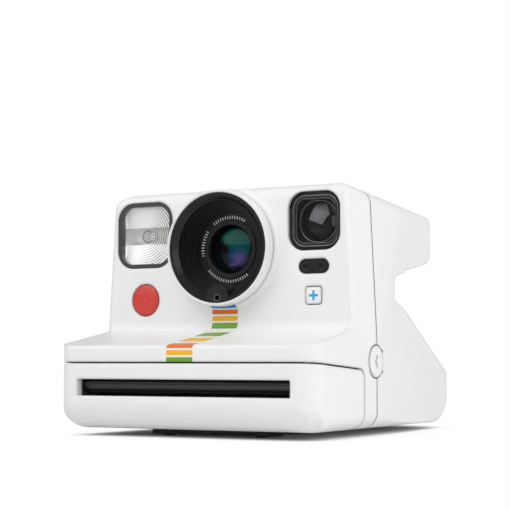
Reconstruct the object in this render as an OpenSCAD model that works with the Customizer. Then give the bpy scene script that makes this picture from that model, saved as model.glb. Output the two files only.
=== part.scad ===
// Box-type instant camera: white shells, dropping film door, round lens, flash and viewfinder.

/* [Body] */
// length from the door front to the rear wall, mm
body_length = 150.2; // [146:0.2:160]
// width over the door, mm
body_width = 112.2; // [111:0.2:120]
// height of the front top edge over the datum, mm
body_height = 94.8; // [94.4:0.2:98]
// underside of the shells over the datum, mm
body_bottom = 1.5; // [1.3:0.1:1.8]
// thickness of the shell walls, mm
wall = 2.2; // [1.8:0.1:2.4]
// upright front face, measured from the door front, mm
face_depth = 33.6; // [33.2:0.1:34.4]
// front edge of the shelf over the datum, mm
lip_height = 33; // [32.6:0.1:34]
// rise of the shelf up to the front face, mm
shelf_rise = 6.1; // [5:0.1:7]
// radius between the shelf and the front face, mm
shelf_fillet = 4; // [2:0.5:5]
// plane where front and rear shell meet, mm from the door front
seam_depth = 52.3; // [52:0.1:53]
// width of the seam groove, mm
seam_width = 0.5; // [0.3:0.1:0.8]
// narrowing of each side at the top, mm
side_draft = 2.7; // [1.5:0.1:3]
// height where the sides begin to lean in, mm
draft_start = 38; // [34:1:42]
// radius along the lower side edges, mm
side_round = 6.5; // [5:0.5:8]
// radius of the upright edges of the front face, mm
face_round = 1; // [0.6:0.1:1.6]
// narrowing of each side from the seam to the front face, mm
face_narrow = 1.2; // [0.8:0.1:1.6]
// narrowing of each side at the rear, mm
rear_taper = 9; // [7:0.1:9.2]
// rear of the upper housing, mm from the door front
hump_depth = 125.4; // [125:0.2:128]
// fall of the top from front to rear, mm
top_fall = 7.3; // [5:0.1:7.4]
// underside of the upper housing at its rear, mm
hump_under = 69.5; // [68:0.5:70]
// wall between upper housing and wedge, mm from the door front
notch_depth = 73; // [72.8:0.1:75]
// top of that wall, mm
notch_high = 60.5; // [60:0.1:61.5]
// foot of that wall, mm
notch_low = 53.4; // [53:0.1:54]
// height where the wedge slope would meet the rear wall, mm
wedge_end = 19.5; // [19:0.1:21]
// side inset of the wedge top, mm
wedge_inset = 4; // [3:0.5:6]
// height where that inset begins, mm
crease_low = 36; // [34:1:38]

/* [Film door] */
// rear edge of the door, mm from the door front
door_depth = 41; // [40.5:0.1:41.5]
// seam over the door at the front, mm
door_height = 26.65; // [26.4:0.05:27]
// fall of that seam toward the rear, mm
door_fall = 2.65; // [2:0.05:3]
// half of the gap around the door, mm
door_gap = 0.3; // [0.2:0.05:0.4]
// width of the film slot, mm
slot_width = 92.2; // [90:0.2:94]
// lower edge of the film slot, mm
slot_low = 14; // [13.5:0.1:14.5]
// upper edge of the film slot, mm
slot_high = 20.4; // [20:0.1:21]
// hinge axis in front of the door's rear edge, mm
hinge_back = 3; // [2.8:0.1:3.2]
// hinge pin radius, mm
hinge_pin_r = 1; // [0.8:0.1:1.2]

/* [Lens] */
// lens axis below the front top edge, mm
lens_drop = 23.8; // [23.6:0.1:24.4]
// radius of the white ring, mm
ring_r = 22.7; // [22.5:0.1:22.9]
// front of the ring, mm from the door front
ring_front = 26.6; // [26.2:0.1:27]
// length of the ring, mm
ring_length = 4.6; // [4:0.1:4.8]
// radius of the black bezel, mm
bezel_r = 21.4; // [21:0.1:21.5]
// depth of the bezel cone, mm
cone_depth = 11.6; // [10:0.1:11.8]
// number of ridges in the cone
cone_ridges = 12; // [6:1:16]
// radius of the lens barrel, mm
barrel_r = 11.5; // [11:0.1:11.8]
// radius of the front lens, mm
glass_r = 9.2; // [8.6:0.1:9.4]
// filter sensor below the lens axis, mm
filter_drop = 19.4; // [18.5:0.1:19.8]

/* [Flash and viewfinder] */
// flash centre left of the lens axis, mm
flash_x = 37.3; // [36.8:0.1:37.6]
// flash centre below the front top edge, mm
flash_drop = 17.2; // [17:0.1:18]
// width of the flash opening, mm
flash_w = 26.2; // [25:0.2:26.4]
// height of the flash opening, mm
flash_h = 26.6; // [26:0.1:27]
// width of the flash frame, mm
flash_rim = 1.7; // [1.2:0.1:2.2]
// radius of the flash tube, mm
tube_r = 1.6; // [1.2:0.1:2]
// viewfinder centre right of the lens axis, mm
finder_x = 38.7; // [38.2:0.1:38.9]
// viewfinder centre below the front top edge, mm
finder_drop = 14.5; // [14.3:0.1:15]
// width of the viewfinder opening, mm
finder_w = 22.2; // [21:0.1:22.6]
// height of the viewfinder opening, mm
finder_h = 22.6; // [21:0.1:23]
// half width of the viewfinder tunnel, mm
tunnel_half = 5.2; // [4.8:0.1:5.4]

/* [Front controls] */
// shutter button centre left of the lens axis, mm
button_x = 36.8; // [36.2:0.1:37.4]
// shutter button centre over the datum, mm
button_z = 51.5; // [51:0.1:52]
// shutter button radius, mm
button_r = 6.2; // [5.6:0.1:6.4]
// press travel of a button, mm
button_travel = 1; // [0.5:0.1:1.1]
// sensor window and plus button right of the lens axis, mm
control_x = 38.7; // [38.2:0.1:38.9]
// sensor window centre over the datum, mm
sensor_z = 63; // [62.6:0.1:63.4]
// sensor window width, mm
sensor_w = 13; // [12:0.1:13.6]
// sensor window height, mm
sensor_h = 5.8; // [5:0.1:6]
// plus button centre over the datum, mm
plus_z = 51.9; // [51.4:0.1:52.2]
// plus button width, mm
plus_w = 6.4; // [5.8:0.1:7]
// rear controls and eyepiece below the front top edge, mm
rear_drop = 15.8; // [15.6:0.1:16.2]
// door switch centre over the datum, mm
switch_z = 27; // [26.5:0.1:27.5]
// door switch radius, mm
switch_r = 6.1; // [5.8:0.1:6.2]
// forward travel of the door switch, mm
switch_travel = 1.2; // [0.8:0.1:1.4]

/* [Rollers and drive] */
// roller radius, mm
roller_r = 4; // [3.8:0.05:4]
// roller shorter than the film slot, mm
roller_short = 8.2; // [7:0.1:10]
// roller shaft radius, mm
shaft_r = 1.5; // [1.3:0.1:1.6]
// roller axes behind the door front, mm
roller_depth = 18; // [17.6:0.1:18.4]
// gear module, mm
gear_module = 0.68; // [0.66:0.01:0.7]
// teeth of the roller gears and the pinion
small_teeth = 12; // [12:1:12]
// teeth of the drive gear
drive_teeth = 24; // [24:1:24]
// gear width, mm
gear_width = 3; // [2.4:0.1:3.2]
// motor radius, mm
motor_r = 5; // [4.4:0.1:5.2]
// motor length, mm
motor_length = 25; // [18:1:28]
// travel of the pick arm, mm
pick_travel = 11; // [8:0.5:11.5]

/* [Film chamber] */
// half width of the film pack space, mm
pack_half = 44.6; // [44.2:0.1:44.7]
// floor of the film pack space, mm
pack_floor = 7.6; // [7.4:0.1:7.8]
// roof of the film pack space, mm
pack_roof = 22.3; // [22:0.1:22.5]
// rear end of the film tray in front of the rear wall, mm
tray_gap = 16.2; // [16:0.1:18]
// half width of the picture opening, mm
picture_half = 39.5; // [38:0.5:40]
// mirror thickness, mm
mirror_t = 1.8; // [1.4:0.1:1.9]

/* [Base] */
// datum of all heights over the floor, mm
stand_height = 1.4; // [1.2:0.1:1.6]
// front end of the pad under the film door, mm from the door front
pad_start = 21; // [19:0.5:23]
// rear end of that pad, mm from the door front
pad_end = 34; // [32:0.5:34.5]
// width of the base plate, mm
base_w = 54; // [50:1:60]
// radius of a foot, mm
foot_r = 3.6; // [3:0.1:4]
// height of a foot, mm
foot_h = 0.5; // [0.4:0.05:0.6]
// tripod thread, core radius, mm
tripod_r = 2.55; // [2.5:0.05:2.6]
// tripod thread length, mm
tripod_length = 5.5; // [5:0.1:5.6]

/* [Hidden] */
$fn = 64;
slack = 0.1;
play = 0.3;
fit = 0.05;
far = 200;
half_w = body_width / 2;
floor_z = -stand_height;
plate_z = floor_z + foot_h;
lens_height = body_height - lens_drop;
flash_z = body_height - flash_drop;
finder_z = body_height - finder_drop;
rear_z = body_height - rear_drop;
tray_end = body_length - tray_gap;
roller_length = slot_width - roller_short;
battery_low = body_height - 23.8;
board_low = body_height - 16.6;
board_start = notch_depth + 11;
board_end = hump_depth - 7.4;
usb_low = body_height - 20.3;
screw_y = [56, body_length - 28.2];
top_half = half_w - side_draft;
rear_half = half_w - rear_taper;
shelf_slope = shelf_rise / face_depth;
wedge_slope = (notch_low - wedge_end) / (body_length - notch_depth);
wedge_angle = atan(wedge_slope);
top_slope = top_fall / (hump_depth - face_depth);
inner_floor = body_bottom + wall;
inner_face = face_depth + wall;
inner_rear = hump_depth - wall;
hinge_y = door_depth - hinge_back;
hinge_z = body_bottom + hinge_back;
hinge_arm_r = hinge_back - 0.6;
hinge_x = 30;
slot_mid = (slot_low + slot_high) / 2;
gear_small_r = gear_module * small_teeth / 2;
gear_drive_r = gear_module * drive_teeth / 2;
roller_high = slot_mid + gear_small_r;
roller_low = slot_mid - gear_small_r;
drive_reach = gear_small_r + gear_drive_r;
drive_turn = 10;
pinion_turn = 35;
drive_y = roller_depth + drive_reach * cos(drive_turn);
drive_z = roller_high + drive_reach * sin(drive_turn);
pinion_y = drive_y + drive_reach * cos(pinion_turn);
pinion_z = drive_z + drive_reach * sin(pinion_turn);
tunnel_x = finder_x - 1.8;
eye_r = 5.6;
usb_x = 49;
usb_start = 95;
frame_half = roller_length / 2 + 3.8;
frame_t = 1.2;
gear_x = -frame_half - frame_t - 0.6 - gear_width;
plate_x = gear_x + gear_width + 0.4;
lens_back = ring_front + cone_depth + 6;
white = [0.93, 0.93, 0.92];
black = [0.06, 0.06, 0.065];
dark = [0.14, 0.14, 0.15];
steel = [0.62, 0.63, 0.65];
glass = [0.2, 0.25, 0.3];

// Unit vector of a plane vector.
function unit(v) = v / norm(v);

// Corner lists run counterclockwise and hold [x, y, radius].
function corner(p, i, step) =
  let (
    n = len(p),
    a = [p[(i + n - 1) % n][0], p[(i + n - 1) % n][1]],
    b = [p[i][0], p[i][1]],
    c = [p[(i + 1) % n][0], p[(i + 1) % n][1]],
    r = p[i][2],
    u = unit(a - b),
    v = unit(c - b),
    turn = cross(-u, v) > 0 ? 1 : -1,
    half = acos(max(-1, min(1, u * v))) / 2,
    sweep = 180 - 2 * half,
    middle = b + unit(u + v) * r / sin(half),
    first = atan2(b[1] + u[1] * r / tan(half) - middle[1], b[0] + u[0] * r / tan(half) - middle[0]),
    count = max(1, ceil(sweep / step))
  )
  r <= 0 ? [b] : [for (k = [0:count])
    let (t = first + turn * sweep * k / count)
    middle + r * [cos(t), sin(t)]];

function rounded(p, step = 6) = [for (i = [0:len(p) - 1]) each corner(p, i, step)];

// Corner list moved inward by d, with its radii kept parallel.
function inward(p, d) =
  let (n = len(p))
  [for (i = [0:n - 1])
    let (
      a = [p[(i + n - 1) % n][0], p[(i + n - 1) % n][1]],
      b = [p[i][0], p[i][1]],
      c = [p[(i + 1) % n][0], p[(i + 1) % n][1]],
      u = unit(b - a),
      v = unit(c - b),
      side_a = [-u[1], u[0]],
      side_b = [-v[1], v[0]],
      q = b + (side_a + side_b) * d / (1 + side_a * side_b)
    )
    [q[0], q[1], p[i][2] <= 0 ? 0 : cross(u, v) > 0 ? max(p[i][2] - d, 0.4) : p[i][2] + d]
  ];

// A (depth, height) shape drawn across the width between two x values.
module across(x0, x1) {
  translate([x0, 0, 0]) rotate([90, 0, 90]) linear_extrude(x1 - x0) children();
}

// A (width, height) shape drawn along the depth between two y values.
module along(y0, y1) {
  translate([0, y1, 0]) rotate([90, 0, 0]) linear_extrude(y1 - y0) children();
}

// Shapes are drawn from the door front and the datum, and put round the middle of the length on the floor.
module place() {
  translate([0, -body_length / 2, stand_height]) children();
}

module rod_x(r, x0, x1, y, z) {
  translate([x0, y, z]) rotate([0, 90, 0]) cylinder(r = r, h = x1 - x0);
}

module rod_y(r, y0, y1, x, z) {
  translate([x, y0, z]) rotate([-90, 0, 0]) cylinder(r = r, h = y1 - y0);
}

module box(x0, x1, y0, y1, z0, z1) {
  translate([x0, y0, z0]) cube([x1 - x0, y1 - y0, z1 - z0]);
}

// Turned shape on the lens axis, drawn as [radius, depth].
module turned(points) {
  translate([0, 0, lens_height]) rotate([-90, 0, 0]) rotate_extrude() polygon(points);
}

function frame_corners(w, h, r) =
  [[-w / 2, -h / 2, r], [w / 2, -h / 2, r], [w / 2, h / 2, r], [-w / 2, h / 2, r]];

module panel(x, z, w, h, r, y0, y1) {
  translate([x, 0, z]) along(y0, y1) polygon(rounded(frame_corners(w, h, r)));
}

low_end = seam_depth + 6;
low_side = [[0, body_bottom, 11], [low_end, body_bottom, 0], [low_end, lip_height + low_end * shelf_slope, 0],
  [0, lip_height, 1.5]];
high_side = [[face_depth, body_bottom, 0], [notch_depth, body_bottom, 0], [notch_depth, notch_high, 3],
  [hump_depth, hump_under, 3], [hump_depth, body_height - top_fall, 4], [face_depth, body_height, 5]];
wedge_side = [[62, body_bottom, 0], [body_length, body_bottom, 12], [body_length, wedge_end, 6],
  [notch_depth, notch_low, 0], [62, notch_low, 0]];
front_shape = [[-half_w, -60, 0], [half_w, -60, 0], [half_w, draft_start, 0], [top_half, body_height, 6],
  [-top_half, body_height, 12], [-half_w, draft_start, 0]];
bottom_shape = [[-half_w, body_bottom, side_round], [half_w, body_bottom, side_round], [half_w, far, 0],
  [-half_w, far, 0]];
// Sides of the low front lean in toward the shelf.
lean_start = 31;
lean_in = 0.19;
low_shape = [[-half_w - 2, -20, 0], [half_w + 2, -20, 0], [half_w + 2, lean_start - 2 / lean_in, 0],
  [half_w - 6, lean_start + 6 / lean_in, 0], [-half_w + 6, lean_start + 6 / lean_in, 0],
  [-half_w - 2, lean_start - 2 / lean_in, 0]];
// Round of the lower corners, drawn across the corner.
function corner_shape(r) =
  [[-far, body_bottom, 0], [8.25, body_bottom, r], [8.25, far, 0], [-far, far, 0]];
wedge_rise = (notch_low - crease_low) / wedge_inset;
wedge_shape = [[-half_w - 9, -20, 0], [half_w + 9, -20, 0], [half_w + 9, crease_low - 9 * wedge_rise, 0],
  [half_w - 9, crease_low + 9 * wedge_rise, 0], [-half_w + 9, crease_low + 9 * wedge_rise, 0],
  [-half_w - 9, crease_low - 9 * wedge_rise, 0]];
function side_half(y) = half_w - rear_taper * (y - 55) / (body_length - 55);
plan_shape = [[-half_w, 0, 8], [half_w, 0, 8], [half_w, 55, 60], [rear_half, body_length, 8],
  [-rear_half, body_length, 8], [-half_w, 55, 60]];
hump_half = side_half(hump_depth) + 0.25;
hump_shape = [[-half_w - 9, -20, 0], [half_w + 9, -20, 0], [half_w + 9, 55, 0], [side_half(70) + 0.25, 70, 0],
  [hump_half, hump_depth, 6], [-hump_half, hump_depth, 6], [-side_half(70) - 0.25, 70, 0],
  [-half_w - 9, 55, 0]];

// Round of the upper rear corners, drawn across the corner.
hump_turn = 32;
hump_high = body_height - top_fall + 0.4;
hump_low = hump_under - 0.6;
hump_corner = [[-far, -40, 0], [-14, -40, 0], [-10, hump_low - 5.6, 0], [6.12, hump_low, 5],
  [6.12, hump_high, 5.5], [-far, hump_high + 0.35 * far, 0]];

// Prism that runs along the fall of the top.
module falling_prism(d) {
  translate([0, face_depth, body_height]) rotate([-atan(top_slope), 0, 0])
    translate([0, -face_depth, -body_height]) along(-60, far) polygon(rounded(inward(front_shape, d)));
}

// Space outside the narrowing sides of the upper front and outside its upright edges, on the right.
side_lean = atan(side_draft / (body_height - draft_start));
module front_side(d) {
  cut = 0.3 * face_round;
  translate([half_w - d, seam_depth, draft_start])
    rotate([0, -side_lean, -atan(face_narrow / (seam_depth - face_depth))])
      translate([0, -90, -90]) cube([90, 180, 180]);
  translate([half_w - face_narrow - d - cut, face_depth + d + cut, draft_start]) rotate([0, -side_lean, -45])
    translate([0, -20, -90]) cube([20, 40, 180]);
}

// Prisms that round the lower corners of the body.
module corner_prism(d, x, y, turn, r) {
  translate([x, y, 0]) rotate(turn) translate([0, far, 0]) rotate([90, 0, 0]) linear_extrude(2 * far)
    polygon(rounded(inward(corner_shape(r), d)));
}

// Prisms that round the upper rear corners of the body.
module hump_round(d, x, turn) {
  translate([x, hump_depth - 6, 0]) rotate(turn) translate([0, far, 0]) rotate([90, 0, 0])
    linear_extrude(2 * far) polygon(rounded(inward(hump_corner, d)));
}

// Outer form of the whole body, or the form a distance d inside it.
module body_form(d) {
  intersection() {
    union() {
      intersection() {
        across(-far, far) polygon(rounded(inward(low_side, d)));
        along(-20, far) polygon(rounded(inward(low_shape, d)));
      }
      difference() {
        intersection() {
          across(-far, far) polygon(rounded(inward(high_side, d)));
          translate([0, 0, -20]) linear_extrude(far) polygon(rounded(inward(hump_shape, d)));
          hump_round(d, hump_half - 6, hump_turn);
          hump_round(d, -hump_half + 6, 180 - hump_turn);
        }
        front_side(d);
        mirror([1, 0, 0]) front_side(d);
      }
      intersection() {
        across(-far, far) polygon(rounded(inward(wedge_side, d)));
        along(-20, far) polygon(rounded(inward(wedge_shape, d)));
      }
    }
    along(-20, far) polygon(rounded(inward(bottom_shape, d)));
    falling_prism(d);
    translate([0, 0, -20]) linear_extrude(far) polygon(rounded(inward(plan_shape, d)));
    corner_prism(d, half_w - 8, 8, -45, 10.5);
    corner_prism(d, -half_w + 8, 8, -135, 10.5);
    corner_prism(d, rear_half - 8, body_length - 8, 45, 14);
    corner_prism(d, -rear_half + 8, body_length - 8, 135, 14);
  }
}

// Groove that shows the seam of the two shells.
module seam_groove() {
  difference() {
    box(-far, far, seam_depth - seam_width / 2, seam_depth + seam_width / 2, -10, far);
    body_form(0.8);
  }
}

// Space of the film door, grown by g on every seam.
module door_zone(g) {
  across(-far, far) polygon(rounded([[-9, -9, 0], [door_depth + g, -9, 0],
    [door_depth + g, door_height - door_fall + g, 4],
    [-9, door_height + door_fall * 9 / door_depth + g, 0]]));
}

// Recess for the door switch, open to the right side.
module switch_recess(r, depth, reach) {
  translate([0, 0, switch_z]) {
    rod_x(r, half_w - depth, half_w + 5, seam_depth, 0);
    rod_x(r, half_w - depth, half_w + 5, seam_depth - reach, 0);
    box(half_w - depth, half_w + 5, seam_depth - reach, seam_depth, -r, r);
  }
}

module switch_block() {
  intersection() {
    box(half_w - 6, half_w - 1, seam_depth - 11, seam_depth + 8.5, switch_z - 8, switch_z + 8);
    body_form(0.5);
  }
}

// Slot through the block for the stem of the switch.
module switch_slot() {
  box(half_w - 12, half_w, seam_depth - 2 - switch_travel - play, seam_depth + 2 + play,
    switch_z - 2.3, switch_z + 2.3);
}

// Collar on the front face that carries the lens ring.
module lens_collar() {
  boss_r = ring_r + 0.4;
  front = ring_front + ring_length + 0.3;
  flare = min(3.2, face_depth - front - 0.1);
  intersection() {
    turned(concat(
      [[bezel_r + slack, inner_face - 0.2], [bezel_r + slack, front], [boss_r, front]],
      [for (k = [0:6:84]) [boss_r + flare - flare * cos(k), face_depth - flare + flare * sin(k)]],
      [[boss_r + flare + 0.2, face_depth + 0.1], [boss_r + flare + 0.2, inner_face - 0.2]]
    ));
    box(-far, far, 0, far, 0, lens_height + boss_r - 0.15);
  }
}

// Round of the inner corner between shelf and face.
module shelf_round() {
  reach = shelf_fillet + 1;
  foot = lip_height + shelf_rise;
  across(-half_w, half_w) difference() {
    polygon([[face_depth + 1, foot - 1.2], [face_depth + 1, foot + reach - 1],
      [face_depth, foot + reach - 1], [face_depth - reach + 1, foot - 1.2]]);
    translate([face_depth - shelf_fillet, foot + shelf_fillet - shelf_fillet * shelf_slope * 0.85])
      circle(r = shelf_fillet);
  }
}

module post(r, y0, y1, x, z) {
  rod_y(r, y0, y1, x, z);
}

module front_shell() color(white) place() difference() {
  union() {
    difference() {
      intersection() {
        body_form(0);
        box(-far, far, -10, seam_depth, -10, far);
      }
      body_form(wall);
      door_zone(door_gap);
    }
    difference() {
      shelf_round();
      front_side(0);
      mirror([1, 0, 0]) front_side(0);
    }
    lens_collar();
    intersection() {
      switch_block();
      box(0, far, 0, seam_depth, -10, far);
    }
    for (x = [-hinge_x, hinge_x]) {
      rod_x(hinge_arm_r, x - 4, x + 4, hinge_y, hinge_z);
      box(x - 4, x + 4, hinge_y, door_depth + 3, hinge_z - hinge_arm_r, hinge_z + hinge_arm_r);
    }
    for (z = [22.5, 32]) rod_x(2.4, -half_w + 1, plate_x, 47.5, z);
    for (x = [-button_x, control_x], s = [-1, 1])
      post(1.6, inner_face - 0.3, inner_face + 6.2, x + s * 8.6, plus_z - 4);
  }
  turned([[0, 20], [bezel_r + slack, 20], [bezel_r + slack, inner_face + 1], [0, inner_face + 1]]);
  panel(-flash_x, flash_z, flash_w, flash_h, 7.3, face_depth - 3, inner_face + 1);
  panel(finder_x, finder_z, finder_w, finder_h, 6.5, face_depth - 3, inner_face + 1);
  panel(control_x, sensor_z, sensor_w, sensor_h, sensor_h / 2 - 0.01, face_depth - 3, inner_face + 1);
  panel(control_x, plus_z, plus_w + 2 * play, plus_w + 2 * play, 1.1, face_depth - 3, inner_face + 1);
  rod_y(button_r + play, face_depth - 3, inner_face + 1, -button_x, button_z);
  switch_recess(switch_r + 0.35, 2.6, switch_travel);
  switch_slot();
  for (x = [-hinge_x, hinge_x]) rod_x(hinge_pin_r + fit, x - 5, x + 5, hinge_y, hinge_z);
  seam_groove();
}

module rear_shell() color(white) place() difference() {
  union() {
    difference() {
      intersection() {
        body_form(0);
        box(-far, far, seam_depth, far, -10, far);
      }
      body_form(wall);
    }
    intersection() {
      switch_block();
      box(0, far, seam_depth, far, -10, far);
    }
    intersection() {
      body_form(wall / 2);
      union() {
        for (x = [-41.6, -12]) box(x - 1, x + 1, board_start, board_end - 2, notch_high - 1, battery_low);
        for (x = [-40, 13], z = [rear_z - 5, rear_z + 5]) post(1.2, inner_rear - 3.3, hump_depth - 1, x, z);
        box(-half_w, -usb_x + 7.4, usb_start + 1, usb_start + 8.2, notch_high - 1, usb_low - 0.2);
        for (s = [-1, 1])
          box(s * 43 - 5.5, s * 43 + 5.5, notch_depth - 7, notch_depth, notch_low - 0.5, notch_high + 0.5);
      }
    }
  }
  switch_recess(switch_r + 0.35, 2.6, switch_travel);
  switch_slot();
  rod_y(eye_r - 0.7 + slack, inner_rear - 1, hump_depth + 1, tunnel_x, rear_z);
  panel(-4, rear_z, 14.4, 8.4, 1.2, inner_rear - 1, hump_depth + 1);
  for (x = [-20, -34]) rod_y(4 + play, inner_rear - 1, hump_depth + 1, x, rear_z);
  box(-far, -usb_x + 8, usb_start - 0.1, usb_start + 9.3, usb_low - 0.2, usb_low + 3.4);
  for (s = [-1, 1])
    box(s * 43 - 4, s * 43 + 4, notch_depth - 5.5, notch_depth + 1, notch_low + 1, notch_high - 1);
  for (s = [-1, 1]) rod_z(1.02, notch_low + 0.2, notch_high - 0.2, s * 43, notch_depth - 2.4);
  rod_z(4.6, -1, 10, 0, 88);
  for (x = [-22, 22], y = screw_y) rod_z(1.25, -1, 10, x, y);
  seam_groove();
}

module rod_z(r, z0, z1, x, y) {
  translate([x, y, z0]) cylinder(r = r, h = z1 - z0);
}

module film_door() color(white) place() difference() {
  union() {
    difference() {
      intersection() {
        body_form(0);
        door_zone(-door_gap);
      }
      body_form(wall);
    }
    panel(0, slot_mid, slot_width + 2.4, slot_high - slot_low + 2.4, 0.6, wall - 0.3, wall + 1.4);
    for (x = [-hinge_x - 0.2, hinge_x + 0.2]) {
      box(x - 10, x + 10, hinge_y - hinge_arm_r, hinge_y, hinge_z - hinge_arm_r, hinge_z);
      rod_x(hinge_arm_r, x - 10, x + 10, hinge_y, hinge_z);
    }
    box(half_w - 8.2, half_w - 1, 10.4, 13.4, 22.6, 24);
  }
  difference() {
    box(-far, far, hinge_y, far, -10, hinge_z);
    rod_x(hinge_back - door_gap, -far, far, hinge_y, hinge_z);
  }
  panel(0, slot_mid, slot_width, slot_high - slot_low, 0.4, -5, wall + 5);
  for (x = [-hinge_x, hinge_x])
    box(x - 4 - play, x + 4 + play, hinge_y - hinge_arm_r - 0.5, far, -10, hinge_z + hinge_arm_r + 1);
  for (x = [-hinge_x - 0.2, hinge_x + 0.2]) rod_x(hinge_pin_r + fit, x - 11, x + 11, hinge_y, hinge_z);
}

module base_plate() color(dark) place() difference() {
  panel_flat(base_w, 46, body_length - 18.2, 6, plate_z, body_bottom);
  rod_z(7.1, -3, 5, 0, 88);
  for (x = [-22, 22], y = screw_y) rod_z(2.3, -3, 5, x, y);
}

// Dark pad with two feet under the film door.
module door_pad() color(dark) place() union() {
  panel_flat(base_w, pad_start, pad_end, 4, plate_z, body_bottom);
  for (x = [-20.3, 20.3]) rod_z(2.2, floor_z, plate_z + 0.1, x, pad_start + 5);
}

module panel_flat(w, y0, y1, r, z0, z1) {
  translate([0, 0, z0]) linear_extrude(z1 - z0)
    polygon(rounded([[-w / 2, y0, r], [w / 2, y0, r], [w / 2, y1, r], [-w / 2, y1, r]]));
}

module feet() color(black) place() for (x = [-19.5, 19.5], y = [68, body_length - 40.2])
  rod_z(foot_r, floor_z, plate_z, x, y);

module tripod_socket() color([0.72, 0.6, 0.32]) place() difference() {
  union() {
    rod_z(7, plate_z, body_bottom, 0, 88);
    rod_z(4.5, plate_z, plate_z + tripod_length, 0, 88);
  }
  rod_z(tripod_r, plate_z - 1, plate_z + tripod_length + 1, 0, 88);
}

module base_screws() color(steel) place() for (x = [-22, 22], y = screw_y) difference() {
  union() {
    rod_z(2.2, plate_z + 0.1, body_bottom, x, y);
    rod_z(1.2, body_bottom, inner_floor + 1.6, x, y);
  }
  for (a = [0, 90]) translate([x, y, plate_z]) rotate(a) translate([-1.3, -0.25, -1]) cube([2.6, 0.5, 1.6]);
}

module lens_ring() color(white) place() turned([
  [bezel_r + slack, ring_front + 0.3], [bezel_r + slack + 0.2, ring_front], [ring_r - 0.6, ring_front],
  [ring_r - 0.25, ring_front + 0.12], [ring_r, ring_front + 0.6],
  [ring_r, ring_front + ring_length], [bezel_r + slack, ring_front + ring_length]]);

module lens_bezel() color(black) place() difference() {
  top = ring_front + 0.4;
  cone_front = top + 2;
  cone_back = ring_front + cone_depth - 0.4;
  outer = bezel_r - 2.9;
  inner = barrel_r + 2.6;
  rise = (cone_back - cone_front) / cone_ridges;
  step = (outer - inner) / cone_ridges;
  union() {
    turned(concat(
      [[bezel_r, top], [bezel_r, inner_face + 3], [barrel_r + slack, inner_face + 3],
        [barrel_r + slack, cone_back], [inner, cone_back]],
      [for (k = [cone_ridges - 1:-1:0]) each [
        [inner + step * (cone_ridges - k - 0.35), cone_front + rise * (k + 1)],
        [inner + step * (cone_ridges - k), cone_front + rise * k]]],
      [[bezel_r - 1.3, top]]
    ));
    intersection() {
      rod_y(4.8, top + 0.5, cone_back + 2, 0, lens_height - filter_drop + 0.6);
      rod_y(bezel_r - 0.2, 20, 60, 0, lens_height);
    }
  }
  rod_y(1.05, top - 5, top + 5, 0, lens_height - filter_drop);
}

module filter_sensor() color(glass) place()
  rod_y(1, ring_front + 4.2, ring_front + 5.3, 0, lens_height - filter_drop);

module lens_barrel() color(black) place() turned([
  [barrel_r, ring_front + cone_depth - 0.9], [barrel_r, lens_back], [6.4, lens_back], [6.4, lens_back - 1],
  [glass_r - 0.9, ring_front + cone_depth + 4.2], [glass_r + slack, ring_front + cone_depth + 4.2],
  [glass_r + slack, ring_front + cone_depth + 0.4], [glass_r + 0.7, ring_front + cone_depth - 0.9]]);

module front_lens() color(glass) place() intersection() {
  rod_y(glass_r, ring_front + cone_depth - 1, ring_front + cone_depth + 4.1, 0, lens_height);
  translate([0, ring_front + cone_depth - 0.4 + 22, lens_height]) sphere(r = 22, $fn = 96);
}

module rear_lens() color(glass) place() rod_y(6.3, lens_back - 0.9, lens_back + 0.1, 0, lens_height);

module shutter_cover() color(dark) place() difference() {
  panel(0, lens_height, 44, 34, 4, lens_back + 0.1, lens_back + 1.3);
  rod_y(5.6, lens_back - 1, lens_back + 5, 0, lens_height);
}

module shutter_plate() color(steel) place() difference() {
  union() {
    panel(0, lens_height, 44, 34, 4, lens_back + 4.4, lens_back + 5.6);
    for (s = [-1, 1]) rod_y(1.2, lens_back + 1.3, lens_back + 5, s * 13, lens_height + 10);
    for (s = [-1, 1], t = [-1, 1]) rod_y(1.6, lens_back + 1.3, lens_back + 5, s * 19.5, lens_height + t * 14);
  }
  rod_y(5, lens_back - 1, lens_back + 9, 0, lens_height);
}

// One shutter blade: an eye on its post, an arm and a disc over the opening.
module blade(y0, y1) {
  difference() {
    union() {
      rod_y(2.6, y0, y1, 13, lens_height + 10);
      rod_y(6.2, y0, y1, 3, lens_height);
      translate([0, 0, lens_height]) along(y0, y1) polygon([[11.5, 11.4], [14.4, 8.5], [6, -1.8], [1.2, 3]]);
    }
    rod_y(1.2 + fit, y0 - 1, y1 + 1, 13, lens_height + 10);
  }
}

module shutter_blade_left() color(black) place() mirror([1, 0, 0]) blade(lens_back + 1.7, lens_back + 2.5);

module shutter_blade_right() color(black) place() blade(lens_back + 3.1, lens_back + 3.9);

module flash_frame() color(dark) place() difference() {
  panel(-flash_x, flash_z, flash_w - 2 * slack, flash_h - 2 * slack, 7.2, face_depth + 0.2, inner_face);
  panel(-flash_x, flash_z, flash_w - 2 * flash_rim, flash_h - 2 * flash_rim, 7.2 - flash_rim,
    face_depth - 3, inner_face + 5);
}

module flash_window() color([0.8, 0.85, 0.9]) place()
  panel(-flash_x, flash_z, flash_w - 2 * flash_rim - 2 * slack, flash_h - 2 * flash_rim - 2 * slack,
    7.1 - flash_rim, face_depth + 0.5, face_depth + 2.6);

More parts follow.
